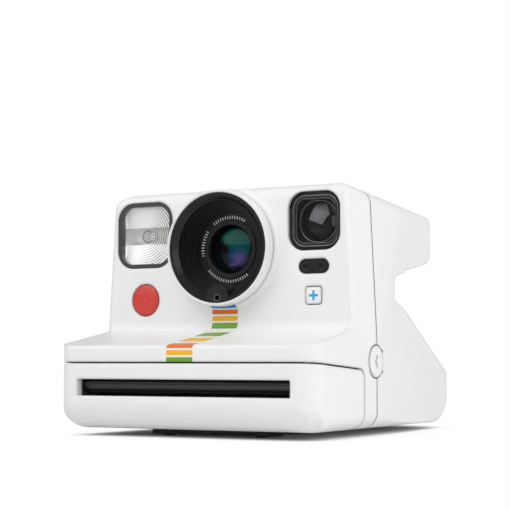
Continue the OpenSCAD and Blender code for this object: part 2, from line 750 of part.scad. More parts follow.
module flash_reflector() color(steel) place() difference() {
  panel(-flash_x, flash_z, flash_w - 2 * flash_rim - 2 * slack, flash_h - 2 * flash_rim - 2 * slack,
    7.1 - flash_rim, face_depth + 2.8, face_depth + 13);
  translate([-flash_x, 0, flash_z]) across(-9.8, 9.8)
    polygon([[face_depth + 2, -10.2], [face_depth + 2, 10.2], [face_depth + 3, 10.2], [face_depth + 7.6, 7.4],
      [face_depth + 10.6, 4.2], [face_depth + 12, 0], [face_depth + 10.6, -4.2], [face_depth + 7.6, -7.4],
      [face_depth + 3, -10.2]]);
  rod_x(tube_r + slack, -flash_x - 20, -flash_x + 20, face_depth + 8.6, flash_z);
}

module flash_tube() color([0.9, 0.92, 0.95]) place()
  rod_x(tube_r, -flash_x - 12.6, -flash_x + 12.6, face_depth + 8.6, flash_z);

module flash_capacitor() color(dark) place()
  rod_x(6.5, -flash_x - 11, -flash_x + 14, face_depth + 13.2 + 6.5, flash_z - 4);

module viewfinder_window() color(glass) place()
  panel(finder_x, finder_z, finder_w - 2 * slack, finder_h - 2 * slack, 6.4,
    face_depth + 0.3, face_depth + 1.5);

module viewfinder_tunnel() color(black) place() difference() {
  union() {
    panel(finder_x, finder_z, finder_w - 2 * slack, finder_h - 2 * slack, 6.4, face_depth + 1.5, inner_face);
    panel(finder_x, finder_z, finder_w - 3.2, finder_h - 3.2, 4.8, inner_face - 0.1, face_depth + 9);
    panel(tunnel_x, rear_z, 2 * tunnel_half, 2 * tunnel_half, 1.2, face_depth + 8, inner_rear - 0.5);
  }
  panel(finder_x, finder_z, finder_w - 5.2, finder_h - 5.2, 3.8, face_depth, face_depth + 7.6);
  rod_y(7.9, face_depth, face_depth + 8.4, finder_x, finder_z);
  panel(tunnel_x, rear_z, 2 * tunnel_half - 2.4, 2 * tunnel_half - 2.4, 0.6, face_depth + 8, inner_rear);
}

module viewfinder_objective() color(glass) place() intersection() {
  rod_y(7.8, face_depth + 2, face_depth + 8.3, finder_x, finder_z);
  translate([finder_x, face_depth + 2.2 + 8.6, finder_z]) sphere(r = 8.6, $fn = 96);
}

module eyepiece() color(black) place() difference() {
  union() {
    rod_y(eye_r - 0.7, inner_rear - 0.5, hump_depth, tunnel_x, rear_z);
    rod_y(eye_r, hump_depth, hump_depth + 1.4, tunnel_x, rear_z);
  }
  rod_y(eye_r - 2.3, inner_rear - 5, hump_depth + 5, tunnel_x, rear_z);
  rod_y(eye_r - 1.5, hump_depth - 1.2, hump_depth + 5, tunnel_x, rear_z);
}

module eyepiece_lens() color(glass) place()
  rod_y(eye_r - 1.6, hump_depth - 1.2, hump_depth + 0.4, tunnel_x, rear_z);

module sensor_window() color(black) place() difference() {
  panel(control_x, sensor_z, sensor_w - 2 * slack, sensor_h - 2 * slack, sensor_h / 2 - slack - 0.01,
    face_depth + 0.2, inner_face);
  for (x = [-3.2, 3.2]) rod_y(1.3, face_depth - 1, face_depth + 1, control_x + x, sensor_z);
}

module sensor_board() color([0.1, 0.3, 0.18]) place()
  panel(control_x, sensor_z, 17, 8.6, 0.5, inner_face, inner_face + 1.2);

module shutter_button() color([0.85, 0.15, 0.1]) place() union() {
  translate([-button_x, 0, button_z]) rotate([-90, 0, 0]) rotate_extrude()
    polygon([[0, face_depth - 1.0], [3.4, face_depth - 0.9], [button_r - 0.7, face_depth - 0.6],
      [button_r, face_depth], [button_r, inner_face + play],
      [button_r + 1, inner_face + play], [button_r + 1, inner_face + play + 1],
      [1.5, inner_face + play + 1], [1.5, inner_face + 2.6], [0, inner_face + 2.6]]);
}

module plus_button() color(white) place() union() {
  panel(control_x, plus_z, plus_w, plus_w, 0.9, face_depth - 0.3, inner_face + play + 1);
  panel(control_x, plus_z, plus_w + 2, plus_w + 2, 0.9, inner_face + play, inner_face + play + 1);
  rod_y(1.5, inner_face + play, inner_face + 2.6, control_x, plus_z);
}

module button_switches() color(dark) place() {
  panel(-button_x, button_z, 6, 6, 0.3, inner_face + 3.8, inner_face + 6.2);
  panel(control_x, plus_z, 6, 6, 0.3, inner_face + 3.8, inner_face + 6.2);
  for (x = [-20, -34]) panel(x, rear_z, 5, 5, 0.3, inner_rear - 3.3, inner_rear - 2.7);
}

module button_boards() color([0.1, 0.3, 0.18]) place() {
  panel(-button_x, plus_z - 2, 22, 12, 1, inner_face + 6.2, inner_face + 7.4);
  panel(control_x, plus_z - 2, 22, 12, 1, inner_face + 6.2, inner_face + 7.4);
}

module door_switch() color(white) place() difference() {
  union() {
    rod_x(switch_r, half_w - 2.3, half_w - 0.15, seam_depth, switch_z);
    box(half_w - 6.4, half_w - 2.2, seam_depth - 2, seam_depth + 2, switch_z - 2, switch_z + 2);
  }
  translate([0, seam_depth, switch_z]) across(half_w - 0.5, half_w + 1)
    polygon([[-1.7, 0], [0.5, -2.6], [1.3, -2], [-0.4, 0], [1.3, 2], [0.5, 2.6]]);
}

module door_latch() color(steel) place() union() {
  box(half_w - 7.9, half_w - 6.4, 7.2, seam_depth + 2, switch_z - 1.1, switch_z + 1.1);
  box(half_w - 7.9, half_w - 6.4, 7.2, 12.4, 24.4, switch_z);
}

module hinge_pins() color(steel) place()
  for (x = [-hinge_x - 0.2, hinge_x + 0.2]) rod_x(hinge_pin_r, x - 10, x + 10, hinge_y, hinge_z);

shield_y = 8.2;
shield_z = slot_high - 2;
shield_r = 4;
shield_t = 0.36;
shield_pitch = 0.9;
shield_turn = 490;
function shield_edge(e) = [for (t = [0:10:shield_turn])
  [shield_y, shield_z] + (shield_r - shield_pitch * t / 360 + e) * [cos(90 - t), sin(90 - t)]];

// Dark sheet rolled up behind the film slot; the turns keep their gap.
module film_shield() color(black) place() across(-slot_width / 2 - 0.3, slot_width / 2 + 0.3) polygon(concat(
  [[wall, shield_z + shield_r + shield_t / 2]],
  shield_edge(shield_t / 2),
  [for (k = [len(shield_edge(0)) - 1:-1:0]) shield_edge(-shield_t / 2)[k]],
  [[wall, shield_z + shield_r - shield_t / 2]]
));
echo(shield_turn_gap = shield_pitch - shield_t);

module roller_frame() color(steel) place() difference() {
  union() {
    for (x = [-frame_half - frame_t, frame_half])
      box(x, x + frame_t, roller_depth - 5.4, roller_depth + 6.4, inner_floor, roller_high + 4);
    box(-frame_half - frame_t, frame_half + frame_t, roller_depth - 5.4, roller_depth + 6.4,
      inner_floor, inner_floor + frame_t);
  }
  for (z = [roller_low, roller_high]) rod_x(shaft_r + fit, -far, far, roller_depth, z);
}

module roller(z) {
  rod_x(roller_r, -roller_length / 2, roller_length / 2, roller_depth, z);
  rod_x(shaft_r, gear_x - 0.3, frame_half + frame_t + 0.4, roller_depth, z);
}

module upper_roller() color(steel) place() union() roller(roller_high);

module lower_roller() color(steel) place() union() roller(roller_low);

// Angle that puts gear b in mesh with gear a, seen along the line from a to b.
function mesh_turn(line, a_turn, a_teeth, b_teeth) =
  line + 180 - 360 / b_teeth * (0.5 - (line - a_turn) * a_teeth / 360);
function involute(t) = t * 180 / PI - atan(t);
function flank(n, r) =
  let (base = gear_module * n / 2 * cos(20))
  r <= base ? 0 : involute(sqrt(pow(r / base, 2) - 1));
tooth_slack = 0.07;

// Outline of a spur gear with a tooth on the first axis, turned by an angle.
module gear_outline(n, turn) {
  pitch = gear_module * n / 2;
  root = pitch - 1.15 * gear_module;
  tip = pitch + 0.8 * gear_module;
  half = 90 / n - tooth_slack / pitch * 180 / PI;
  radii = [root, pitch * cos(20), pitch - 0.05 * gear_module, pitch + 0.35 * gear_module, tip];
  rotate(turn) polygon([for (k = [0:n - 1]) each concat(
    [for (r = radii) let (a = 360 / n * k - half - flank(n, pitch) + flank(n, r)) r * [cos(a), sin(a)]],
    [for (j = [4:-1:0])
      let (r = radii[j], a = 360 / n * k + half + flank(n, pitch) - flank(n, r)) r * [cos(a), sin(a)]]
  )]);
}

module gear(n, turn, y, z, bore) {
  difference() {
    translate([0, y, z]) across(gear_x, gear_x + gear_width) gear_outline(n, turn);
    rod_x(bore, gear_x - 1, gear_x + gear_width + 1, y, z);
  }
}

drive_phase = mesh_turn(drive_turn, 0, small_teeth, drive_teeth);

module upper_roller_gear() color(white) place()
  gear(small_teeth, 0, roller_depth, roller_high, shaft_r + 0.02);

module lower_roller_gear() color(white) place()
  gear(small_teeth, mesh_turn(-90, 0, small_teeth, small_teeth), roller_depth, roller_low, shaft_r + 0.02);

module drive_gear() color(white) place() gear(drive_teeth, drive_phase, drive_y, drive_z, shaft_r + fit);

module motor_pinion() color(steel) place() union() {
  gear(small_teeth, mesh_turn(pinion_turn, drive_phase, drive_teeth, small_teeth), pinion_y, pinion_z, 0.5);
  rod_x(0.8, gear_x + 0.5, plate_x + frame_t + 3.8, pinion_y, pinion_z);
}

module gear_plate() color(steel) place() difference() {
  union() {
    box(plate_x, plate_x + frame_t, 26.5, 50.4, 18.6, 35);
    rod_x(shaft_r, gear_x - 0.5, plate_x + 0.5, drive_y, drive_z);
  }
  rod_x(1.2, plate_x - 1, plate_x + 3, pinion_y, pinion_z);
}

module motor() color([0.55, 0.56, 0.58]) place() difference() {
  rod_x(motor_r, plate_x + frame_t, plate_x + frame_t + motor_length, pinion_y, pinion_z);
  rod_x(0.8 + fit, plate_x, plate_x + frame_t + 4.2, pinion_y, pinion_z);
}

tray_start = seam_depth - 0.5;
tray_half = pack_half + 1.5;
arm_low = 16;
arm_high = 20;
arm_end = tray_end - 12;

module film_tray() color(black) place() difference() {
  union() {
    box(-tray_half, tray_half, tray_start, tray_end, pack_floor - 1.2, pack_floor);
    for (x = [-tray_half, pack_half]) box(x, x + 1.5, tray_start, tray_end, pack_floor - 1.2, pack_roof);
    for (x = [-36, 36], y = [60, tray_end - 16]) rod_z(3, inner_floor, pack_floor - 1, x, y);
    for (z = [arm_high + play, arm_low - play - 1.2])
      box(tray_half - 0.2, tray_half + 1.6, 75, arm_end - 17, z, z + 1.2);
  }
  box(pack_half - 1, tray_half + 1, arm_end - 2 - pick_travel - play, arm_end + play,
    arm_low + 0.7, arm_high - 0.7);
}

module picture_frame() color(black) place() difference() {
  box(-tray_half, tray_half, tray_start, tray_end - 2.5, pack_roof, pack_roof + 1.2);
  box(-picture_half, picture_half, tray_start + 1, tray_start + 1 + 76, pack_roof - 1, pack_roof + 2);
}

module pick_arm() color(steel) place() union() {
  box(tray_half + play, tray_half + play + 1, 62, arm_end, arm_low, arm_high);
  box(pack_half - 1.2, tray_half + play + 0.5, arm_end - 2, arm_end, arm_low + 1, arm_high - 1);
}

module chamber_mirror() color([0.8, 0.82, 0.85]) place()
  translate([0, notch_depth, notch_low - wall / cos(wedge_angle) - 0.06]) rotate([-wedge_angle, 0, 0])
    translate([0, 0, -mirror_t]) linear_extrude(mirror_t) polygon([[-28, 5], [28, 5], [40, 57], [-40, 57]]);

chamber_front = lens_back + 5.6;
chamber_end = tray_end - 8;
chamber_top = notch_low - (wall + mirror_t) / cos(wedge_angle) - 0.4;

module light_chamber() color(black) place() difference() {
  union() {
    across(-43, 43) polygon([[chamber_front, pack_roof + 1.2], [chamber_end, pack_roof + 1.2],
      [chamber_end, chamber_top - wedge_slope * (chamber_end - notch_depth)],
      [notch_depth + 1, chamber_top - wedge_slope],
      [chamber_front, chamber_top - wedge_slope]]);
    box(-20, 20, chamber_front, notch_depth - 3, chamber_top - 3, lens_height + 13.5);
  }
  across(-41.5, 41.5) polygon([[chamber_front + 1.5, 10], [far, 10], [far, chamber_top - 2.2],
    [chamber_front + 1.5, chamber_top - 2.2]]);
  box(-18.5, 18.5, chamber_front + 1.5, notch_depth - 4.5, 40, lens_height + 12);
  rod_y(6, chamber_front - 1, chamber_front + 3, 0, lens_height);
}

module main_board() color([0.1, 0.3, 0.18]) place()
  box(-45, 24, board_start, board_end, board_low, board_low + 1.6);

module battery() color([0.5, 0.52, 0.55]) place()
  box(-40.6, -10, board_start + 0.5, board_end - 2.5, battery_low, board_low);

module rear_board() color([0.1, 0.3, 0.18]) place()
  panel(-13, rear_z, 60, 12.4, 1, inner_rear - 4.9, inner_rear - 3.3);

module counter_window() color(black) place()
  panel(-4, rear_z, 14.2, 8.2, 1.1, inner_rear - 3.3, hump_depth - 0.2);

module rear_button(x) {
  rod_y(4, inner_rear - play, hump_depth + 0.5, x, rear_z);
  rod_y(4.9, inner_rear - play - 0.9, inner_rear - play, x, rear_z);
}

module power_button() color(dark) place() union() rear_button(-20);

module flash_button() color(dark) place() union() rear_button(-34);

module usb_port() color(steel) place() difference() {
  box(-usb_x, -usb_x + 8, usb_start + 0.1, usb_start + 9.1, usb_low, usb_low + 3.2);
  box(-far, -usb_x + 5, usb_start + 0.5, usb_start + 8.7, usb_low + 0.4, usb_low + 2.8);
}

module strap_pins() color(steel) place()
  for (s = [-1, 1]) rod_z(1, notch_low + 0.3, notch_high - 0.3, s * 43, notch_depth - 2.4);

front_shell();
rear_shell();
film_door();
door_pad();
base_plate();
feet();
tripod_socket();
base_screws();
lens_ring();
lens_bezel();
lens_barrel();
front_lens();
rear_lens();
filter_sensor();
shutter_cover();
shutter_plate();
shutter_blade_left();
shutter_blade_right();
flash_frame();
flash_window();
flash_reflector();
flash_tube();
flash_capacitor();
viewfinder_window();
viewfinder_tunnel();
viewfinder_objective();
eyepiece();
eyepiece_lens();
sensor_window();
sensor_board();
shutter_button();
plus_button();
button_switches();
button_boards();
door_switch();
door_latch();
hinge_pins();
film_shield();
roller_frame();
upper_roller();
lower_roller();
upper_roller_gear();
lower_roller_gear();
drive_gear();
motor_pinion();
gear_plate();
motor();
film_tray();
picture_frame();
pick_arm();
chamber_mirror();
light_chamber();
main_board();
battery();
rear_board();
counter_window();
power_button();
flash_button();
usb_port();
strap_pins();
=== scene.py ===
import math
from functools import cached_property

import bpy
from bpy.props import FloatProperty, FloatVectorProperty, IntProperty, PointerProperty
from bpy.types import Operator, Panel, PropertyGroup
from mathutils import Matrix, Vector


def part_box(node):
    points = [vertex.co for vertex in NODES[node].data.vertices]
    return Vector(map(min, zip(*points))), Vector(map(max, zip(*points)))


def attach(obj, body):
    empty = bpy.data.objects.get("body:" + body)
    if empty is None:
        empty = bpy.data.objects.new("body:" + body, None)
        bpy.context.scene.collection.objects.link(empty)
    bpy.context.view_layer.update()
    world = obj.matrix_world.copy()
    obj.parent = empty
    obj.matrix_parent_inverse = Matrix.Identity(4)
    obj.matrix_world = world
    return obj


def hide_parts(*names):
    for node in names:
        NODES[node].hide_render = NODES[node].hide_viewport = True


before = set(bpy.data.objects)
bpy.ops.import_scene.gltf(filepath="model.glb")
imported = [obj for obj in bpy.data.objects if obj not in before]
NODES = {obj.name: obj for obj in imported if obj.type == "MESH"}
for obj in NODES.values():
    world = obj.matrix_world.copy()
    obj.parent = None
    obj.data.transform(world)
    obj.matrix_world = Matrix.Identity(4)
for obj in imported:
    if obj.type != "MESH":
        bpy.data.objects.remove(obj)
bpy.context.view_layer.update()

bl_info = {
    "name": "Instant Camera Looks",
    "version": (1, 0, 0),
    "blender": (4, 5, 0),
    "location": "View3D > Sidebar > Instant Camera",
    "description": "Finishes, printed marks, light and view for the instant camera",
    "category": "Object",
}


def middle(node):
    """Middle of a CAD node at rest."""
    low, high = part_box(node)
    return [(a + b) / 2 for a, b in zip(low, high)]


def half_size(node):
    """Half the width and half the height of a CAD node, seen from the front."""
    low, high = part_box(node)
    return (high[0] - low[0]) / 2, (high[2] - low[2]) / 2


def grey(level):
    """Neutral colour of one level."""
    return (level, level, level, 1.0)


def shade(base, step=1.0):
    """Colour made darker or lighter by a step."""
    return tuple(min(1.0, c * step) for c in base) + (1.0,)


# Places in metres, in the frame of the CAD
LENS = middle("lens_ring")
PLUS = middle("plus_button")
SHUTTER = middle("shutter_button")
SWITCH = middle("door_switch")
FLASH = middle("flash_window")
FINDER = middle("viewfinder_window")
BALL = middle("viewfinder_objective")
OWN_ORIGIN = (0.0, 0.0, 0.0)
PLUS_PROUD = 0.0003
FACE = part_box("plus_button")[0][1] + PLUS_PROUD
BEHIND_FACE = FACE + 0.0002

WHITE = grey(1.0)
UNLIT = grey(0.02)


def colour(name, text, value):
    """Property for a colour."""
    return FloatVectorProperty(
        name=name, description=text, subtype="COLOR", size=3, min=0.0, max=1.0, default=value
    )


def length(name, text, value):
    """Property for a length in metres."""
    return FloatProperty(name=name, description=text, unit="LENGTH", min=0.0, default=value, precision=5)


def share(name, text, value):
    """Property for a part of a whole, from 0 to 1."""
    return FloatProperty(name=name, description=text, subtype="FACTOR", min=0.0, max=1.0, default=value)


class ShellLooks(PropertyGroup):
    """White shells and the bars printed on them"""

    white: colour("White", "Colour of the white shells", (0.83, 0.83, 0.835))
    roughness: share("Roughness", "Roughness of the white shells", 0.42)
    edge: length("Edge", "Radius that softens the moulded edges", 0.002)
    bar_width: length("Bar width", "Width of the printed bars", 0.0114)
    bar_pitch: length("Bar pitch", "Distance from one printed bar to the next", 0.0026)
    bar_share: share("Bar share", "Part of the pitch that is printed", 0.72)


class ControlLooks(PropertyGroup):
    """Buttons, sensor window and rear keys"""

    red: colour("Red", "Colour of the shutter button", (0.6, 0.045, 0.032))
    sign: colour("Plus sign", "Colour of the printed plus", (0.01, 0.36, 0.7))
    sign_reach: length("Sign reach", "Half the length of the plus sign's bars", 0.0019)
    sign_half: length("Sign half width", "Half the width of the plus sign's bars", 0.00048)
    pane: colour("Panes", "Colour of the sensor and counter windows", (0.012, 0.012, 0.013))
    rear_key: colour("Rear keys", "Colour of the power and flash buttons", (0.04, 0.04, 0.042))


class LensLooks(PropertyGroup):
    """Bezel, printed marks and glass of the lens"""

    black: colour("Black", "Colour of the black lens parts", (0.008, 0.008, 0.0085))
    dark_glass: colour("Dark glass", "Colour of the lenses further in", (0.012, 0.014, 0.017))
    # Colours of the painted reflections in the front lens
    reflection_high: colour("Upper coating", "Colour of the upper reflection", (0.003, 0.1, 0.08))
    reflection_low: colour("Lower coating", "Colour of the lower reflection", (0.01, 0.05, 0.14))
    reflection_edge: colour("Edge coating", "Colour of the reflection at the lower rim", (0.1, 0.055, 0.22))
    mark_radius: length("Mark radius", "Middle radius of the printed marks", 0.0126)
    mark_count: IntProperty(
        name="Marks", description="Printed marks round the whole ring", default=72, min=12
    )


class FlashLooks(PropertyGroup):
    """Frame, window, mirror and tube of the flash"""

    surround: colour("Frame", "Colour of the flash frame", (0.05, 0.05, 0.052))
    mirror: colour("Mirror", "Colour of the flash insert", (0.96, 0.96, 0.955))
    tube: colour("Tube", "Colour of the flash tube", (0.42, 0.42, 0.41))
    ring_pitch: length("Ring pitch", "Distance between the circles of the flat lens", 0.001)
    band_half: length("Band half height", "Half the height of the tube's band", 0.0034)


class FinderLooks(PropertyGroup):
    """Tunnel, beads and ball lens of the viewfinder, and the rubber behind it"""

    tunnel: colour("Tunnel", "Colour of the viewfinder tunnel", (0.012, 0.012, 0.012))
    ball: colour("Ball lens", "Colour of the objective", (0.006, 0.006, 0.0065))
    beads: colour("Beads", "Colour of the beads round the window", (0.17, 0.17, 0.175))
    rubber: colour("Rubber", "Colour of the eyepiece and the feet", (0.025, 0.025, 0.026))


class StageLooks(PropertyGroup):
    """Floor, lights and surroundings"""

    floor: colour("Floor", "Colour of the floor", (0.9, 0.9, 0.9))
    shadow_reach: length("Shadow reach", "Distance over which the floor goes to white", 0.05)
    contact: share("Contact shadow", "Part of the floor's own light lost close to the camera", 0.1)
    key: FloatProperty(name="Key", description="Power of the broad light", unit="POWER", default=11.8)
    side: FloatProperty(name="Side", description="Power of the right light", unit="POWER", default=9.9)
    sky: FloatProperty(name="Sky", description="Strength of the surrounding light", default=0.2)


class Tree:
    """Adds and links the shader nodes of a material or of the world."""

    def __init__(self, owner, output="ShaderNodeOutputMaterial"):
        owner.use_nodes = True
        self.owner = owner
        self.nodes = owner.node_tree.nodes
        self.links = owner.node_tree.links
        self.nodes.clear()
        self.out = self.add(output)

    def add(self, kind, **settings):
        """New node with its settings."""
        node = self.nodes.new(kind)
        for key, value in settings.items():
            setattr(node, key, value)
        return node

    def set(self, socket, value):
        """Links a socket to another one, or gives it a value of its own."""
        if hasattr(value, "is_output"):
            self.links.new(value, socket)
        else:
            socket.default_value = value

    @cached_property
    def place(self):
        """X, Y and Z of the surface: in the CAD's frame, or from a new piece's own origin."""
        split = self.add("ShaderNodeSeparateXYZ")
        self.links.new(self.add("ShaderNodeTexCoord").outputs["Object"], split.inputs[0])
        return tuple(split.outputs)

    def apart(self, point):
        """Steps to the right and up from a point to the surface."""
        x, y, z = self.place
        return self.math("SUBTRACT", x, point[0]), self.math("SUBTRACT", z, point[2])

    def math(self, operation, *values):
        """Result of a math node."""
        node = self.add("ShaderNodeMath", operation=operation)
        for socket, value in zip(node.inputs, values):
            self.set(socket, value)
        return node.outputs[0]

    def product(self, first, *others):
        """All the given values multiplied."""
        for other in others:
            first = self.math("MULTIPLY", first, other)
        return first

    def distance(self, right, up):
        """Straight distance of a step to the right and a step up."""
        squares = self.math("ADD", self.product(right, right), self.product(up, up))
        return self.math("SQRT", squares)

    def size(self, value):
        """Value without its sign."""
        return self.math("ABSOLUTE", value)

    def less(self, value, limit):
        """1 where the value lies under a limit."""
        return self.math("LESS_THAN", value, limit)

    def more(self, value, limit):
        """1 where the value lies over a limit."""
        return self.math("GREATER_THAN", value, limit)

    def window(self, value, low, high):
        """1 where the value lies between two limits."""
        return self.product(self.more(value, low), self.less(value, high))

    def rest(self, mask):
        """What a mask leaves."""
        return self.math("SUBTRACT", 1.0, mask)

    def left_over(self, mask, cut):
        """What a second mask leaves of the first."""
        return self.math("MAXIMUM", self.math("SUBTRACT", mask, cut), 0.0)

    def mix(self, factor, a, b):
        """Colour between two colours."""
        node = self.add("ShaderNodeMix", data_type="RGBA")
        self.set(node.inputs["Factor"], factor)
        self.set(node.inputs["A"], a)
        self.set(node.inputs["B"], b)
        return node.outputs["Result"]

    def noise(self, scale, detail=4.0):
        """Cloud that stays with the surface."""
        node = self.add("ShaderNodeTexNoise")
        node.inputs["Scale"].default_value = scale
        node.inputs["Detail"].default_value = detail
        self.links.new(self.add("ShaderNodeTexCoord").outputs["Object"], node.inputs["Vector"])
        return node.outputs["Fac"]

    def ramp(self, value, low, high):
        """Value from 0 to 1 spread between two others."""
        node = self.add("ShaderNodeMapRange")
        self.set(node.inputs["Value"], value)
        node.inputs["To Min"].default_value = low
        node.inputs["To Max"].default_value = high
        return node.outputs["Result"]

    def smooth(self, value, low, high, start=0.0, end=1.0):
        """Soft step from start to end while the value goes from low to high."""
        node = self.add("ShaderNodeMapRange", interpolation_type="SMOOTHSTEP")
        self.set(node.inputs["Value"], value)
        limits = {"From Min": low, "From Max": high, "To Min": start, "To Max": end}
        for name, limit in limits.items():
            node.inputs[name].default_value = limit
        return node.outputs["Result"]

    def blend(self, factor, first, second):
        """Shader between two shaders."""
        node = self.add("ShaderNodeMixShader")
        self.set(node.inputs[0], factor)
        self.links.new(first.outputs[0], node.inputs[1])
        self.links.new(second.outputs[0], node.inputs[2])
        return node

    def surface(self, shader):
        """Makes a shader the visible one."""
        self.links.new(shader.outputs[0], self.out.inputs["Surface"])
        return shader


class Finish(Tree):
    """Material with one main shader, whose colour is painted over part by part."""

    def __init__(self, name, tone):
        super().__init__(bpy.data.materials.new(name))
        self.body = self.surface(self.add("ShaderNodeBsdfPrincipled"))
        self.tone = tone

    def fill(self, socket, value):
        """Sets one of the main shader's sockets."""
        self.set(self.body.inputs[socket], value)

    def paint(self, mask, tone):
        """Covers the masked part with another colour."""
        self.tone = self.mix(mask, self.tone, tone)
        self.fill("Base Color", self.tone)


CLOUD_SCALE = 60.0
GLOSS_SPREAD = 0.12
EDGE_SAMPLES = 8
GRAIN_DEPTH = 0.0001


def plastic(name, base, roughness, speckle=0.1, grain=900.0, edge=0.0, bump=0.0, metallic=0.0, coat=0.0):
    """Moulded or metal finish with a faint cloud in its colour and gloss."""
    finish = Finish(name, shade(base, 1 - speckle))
    finish.paint(finish.noise(CLOUD_SCALE), shade(base, 1 + speckle))
    least, most = roughness * (1 - GLOSS_SPREAD), roughness * (1 + GLOSS_SPREAD)
    finish.fill("Roughness", finish.ramp(finish.noise(grain), least, most))
    finish.fill("Metallic", metallic)
    finish.fill("Coat Weight", coat)
    normal = None
    if edge:
        soft = finish.add("ShaderNodeBevel", samples=EDGE_SAMPLES)
        soft.inputs["Radius"].default_value = edge
        normal = soft.outputs[0]
    if bump:
        rough = finish.add("ShaderNodeBump")
        rough.inputs["Strength"].default_value = bump
        rough.inputs["Distance"].default_value = GRAIN_DEPTH
        finish.set(rough.inputs["Height"], finish.noise(grain * 2))
        if normal is not None:
            finish.set(rough.inputs["Normal"], normal)
        normal = rough.outputs[0]
    if normal is not None:
        finish.fill("Normal", normal)
    return finish


def dress(tree, *names):
    """Gives CAD nodes their finish."""
    for name in names:
        slots = NODES[name].data.materials
        slots.clear()
        slots.append(tree.owner)


def new_piece(name, mesh, place, tree, body):
    """Adds a piece of the scene to a moving or fixed body."""
    piece = bpy.data.objects.new(name, mesh)
    piece.location = place
    mesh.materials.append(tree.owner)
    bpy.context.scene.collection.objects.link(piece)
    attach(piece, body)
    return piece


def spot(tree, centre, reach, soft, about=LENS):
    """1 inside a round spot with a soft rim; its centre is given from the lens axis or another point."""
    right, up = tree.apart((about[0] + centre[0], about[1], about[2] + centre[1]))
    return tree.smooth(tree.distance(right, up), reach - soft, reach + soft, 1.0, 0.0)


def area(tree, corners, soft, about):
    """1 inside a straight-edged area with soft edges; its corners run anticlockwise round a point."""
    x, y, z = tree.place
    inside = None
    for (ax, az), (bx, bz) in zip(corners, corners[1:] + corners[:1]):
        run = math.hypot(bx - ax, bz - az)
        nx, nz = (az - bz) / run, (bx - ax) / run
        offset = -nx * (about[0] + ax) - nz * (about[2] + az)
        depth = tree.math("MULTIPLY_ADD", x, nx, tree.math("MULTIPLY_ADD", z, nz, offset))
        inside = depth if inside is None else tree.math("MINIMUM", inside, depth)
    return tree.smooth(inside, -soft, soft)


def white_shell(looks, name):
    """Satin white moulding with a low sheen."""
    shell = plastic(
        name, looks.white, looks.roughness, speckle=0.006, grain=700.0, edge=looks.edge, bump=0.03
    )
    shell.fill("Specular IOR Level", 0.3)
    return shell


# Printed bars: their colours in order, and where the print starts and ends
BAR_COLOURS = (
    (0.02, 0.27, 0.72, 1.0),
    (0.72, 0.05, 0.035, 1.0),
    (0.16, 0.36, 0.03, 1.0),
    (0.86, 0.45, 0.02, 1.0),
    (0.8, 0.16, 0.02, 1.0),
)
SHELF_SHARE = 0.4  # how much a step along the shelf counts against a step down
COUNT_START = 1.0  # keeps the count of bars over zero
PRINT_TOP = LENS[2] - 0.0215
PRINT_BACK = FACE + 0.0004
LIP_BACK = FACE - 0.003
DOWNWARD = -0.5  # upright part of the normal under which a face looks down


def printed_bars(shell, looks):
    """Separate cross bars printed under the lens, over the shelf and down the lip."""
    x, y, z = shell.place
    path = shell.math("SUBTRACT", z, shell.product(y, SHELF_SHARE))
    run = shell.math("DIVIDE", shell.math("ADD", path, COUNT_START), looks.bar_pitch)
    number = shell.math("FLOORED_MODULO", shell.math("FLOOR", run), float(len(BAR_COLOURS)))
    facing = shell.add("ShaderNodeSeparateXYZ")
    shell.links.new(shell.add("ShaderNodeTexCoord").outputs["Normal"], facing.inputs[0])
    underside = shell.product(shell.less(facing.outputs[2], DOWNWARD), shell.less(y, LIP_BACK))
    printed = shell.product(
        shell.window(x, -looks.bar_width / 2, looks.bar_width / 2),
        shell.less(y, PRINT_BACK),
        shell.rest(underside),
        shell.less(shell.math("FRACT", run), looks.bar_share),
        shell.less(z, PRINT_TOP),
    )
    for index, tone in enumerate(BAR_COLOURS):
        turn = shell.window(number, index - 0.5, index + 0.5)
        shell.paint(shell.product(printed, turn), tone)


PLUS_GAP = 0.0042
SHUTTER_GAP = 0.0068


def dark_gaps(shell):
    """Unlit gaps round the two front buttons."""
    x, y, z = shell.place
    gaps = []
    for button, reach in ((PLUS, PLUS_GAP), (SHUTTER, SHUTTER_GAP)):
        right, up = shell.apart(button)
        gaps.append(shell.product(shell.less(shell.size(right), reach), shell.less(shell.size(up), reach)))
    near = shell.math("MAXIMUM", *gaps)
    shell.paint(shell.product(shell.more(y, BEHIND_FACE), near), UNLIT)


# Groove between the shells, and the recess of the door switch in it
SEAM_HALF = 0.00027
SEAM_TONE = grey(0.16)
RECESS_Y = SWITCH[1] - 0.0006
RECESS_RADIUS = 0.0078
RECESS_END = 0.0036
RECESS_DEPTH = 0.003
RECESS_EDGE = 0.0001
RECESS_TONE = grey(0.03)


def dark_seam(shell):
    """Unlit groove between the two shells and the ends of the door switch's recess."""
    x, y, z = shell.place
    shell.paint(shell.window(y, SWITCH[1] - SEAM_HALF, SWITCH[1] + SEAM_HALF), SEAM_TONE)
    back = shell.math("SUBTRACT", y, RECESS_Y)
    up = shell.math("SUBTRACT", z, SWITCH[2])
    # Painted shade in the upper and lower ends of the door switch's recess
    ends = shell.product(
        shell.less(shell.distance(back, up), RECESS_RADIUS), shell.more(shell.size(up), RECESS_END)
    )
    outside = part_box("door_switch")[1][0]
    inner = shell.window(x, outside - RECESS_DEPTH, outside - RECESS_EDGE)
    shell.paint(shell.product(ends, inner), RECESS_TONE)


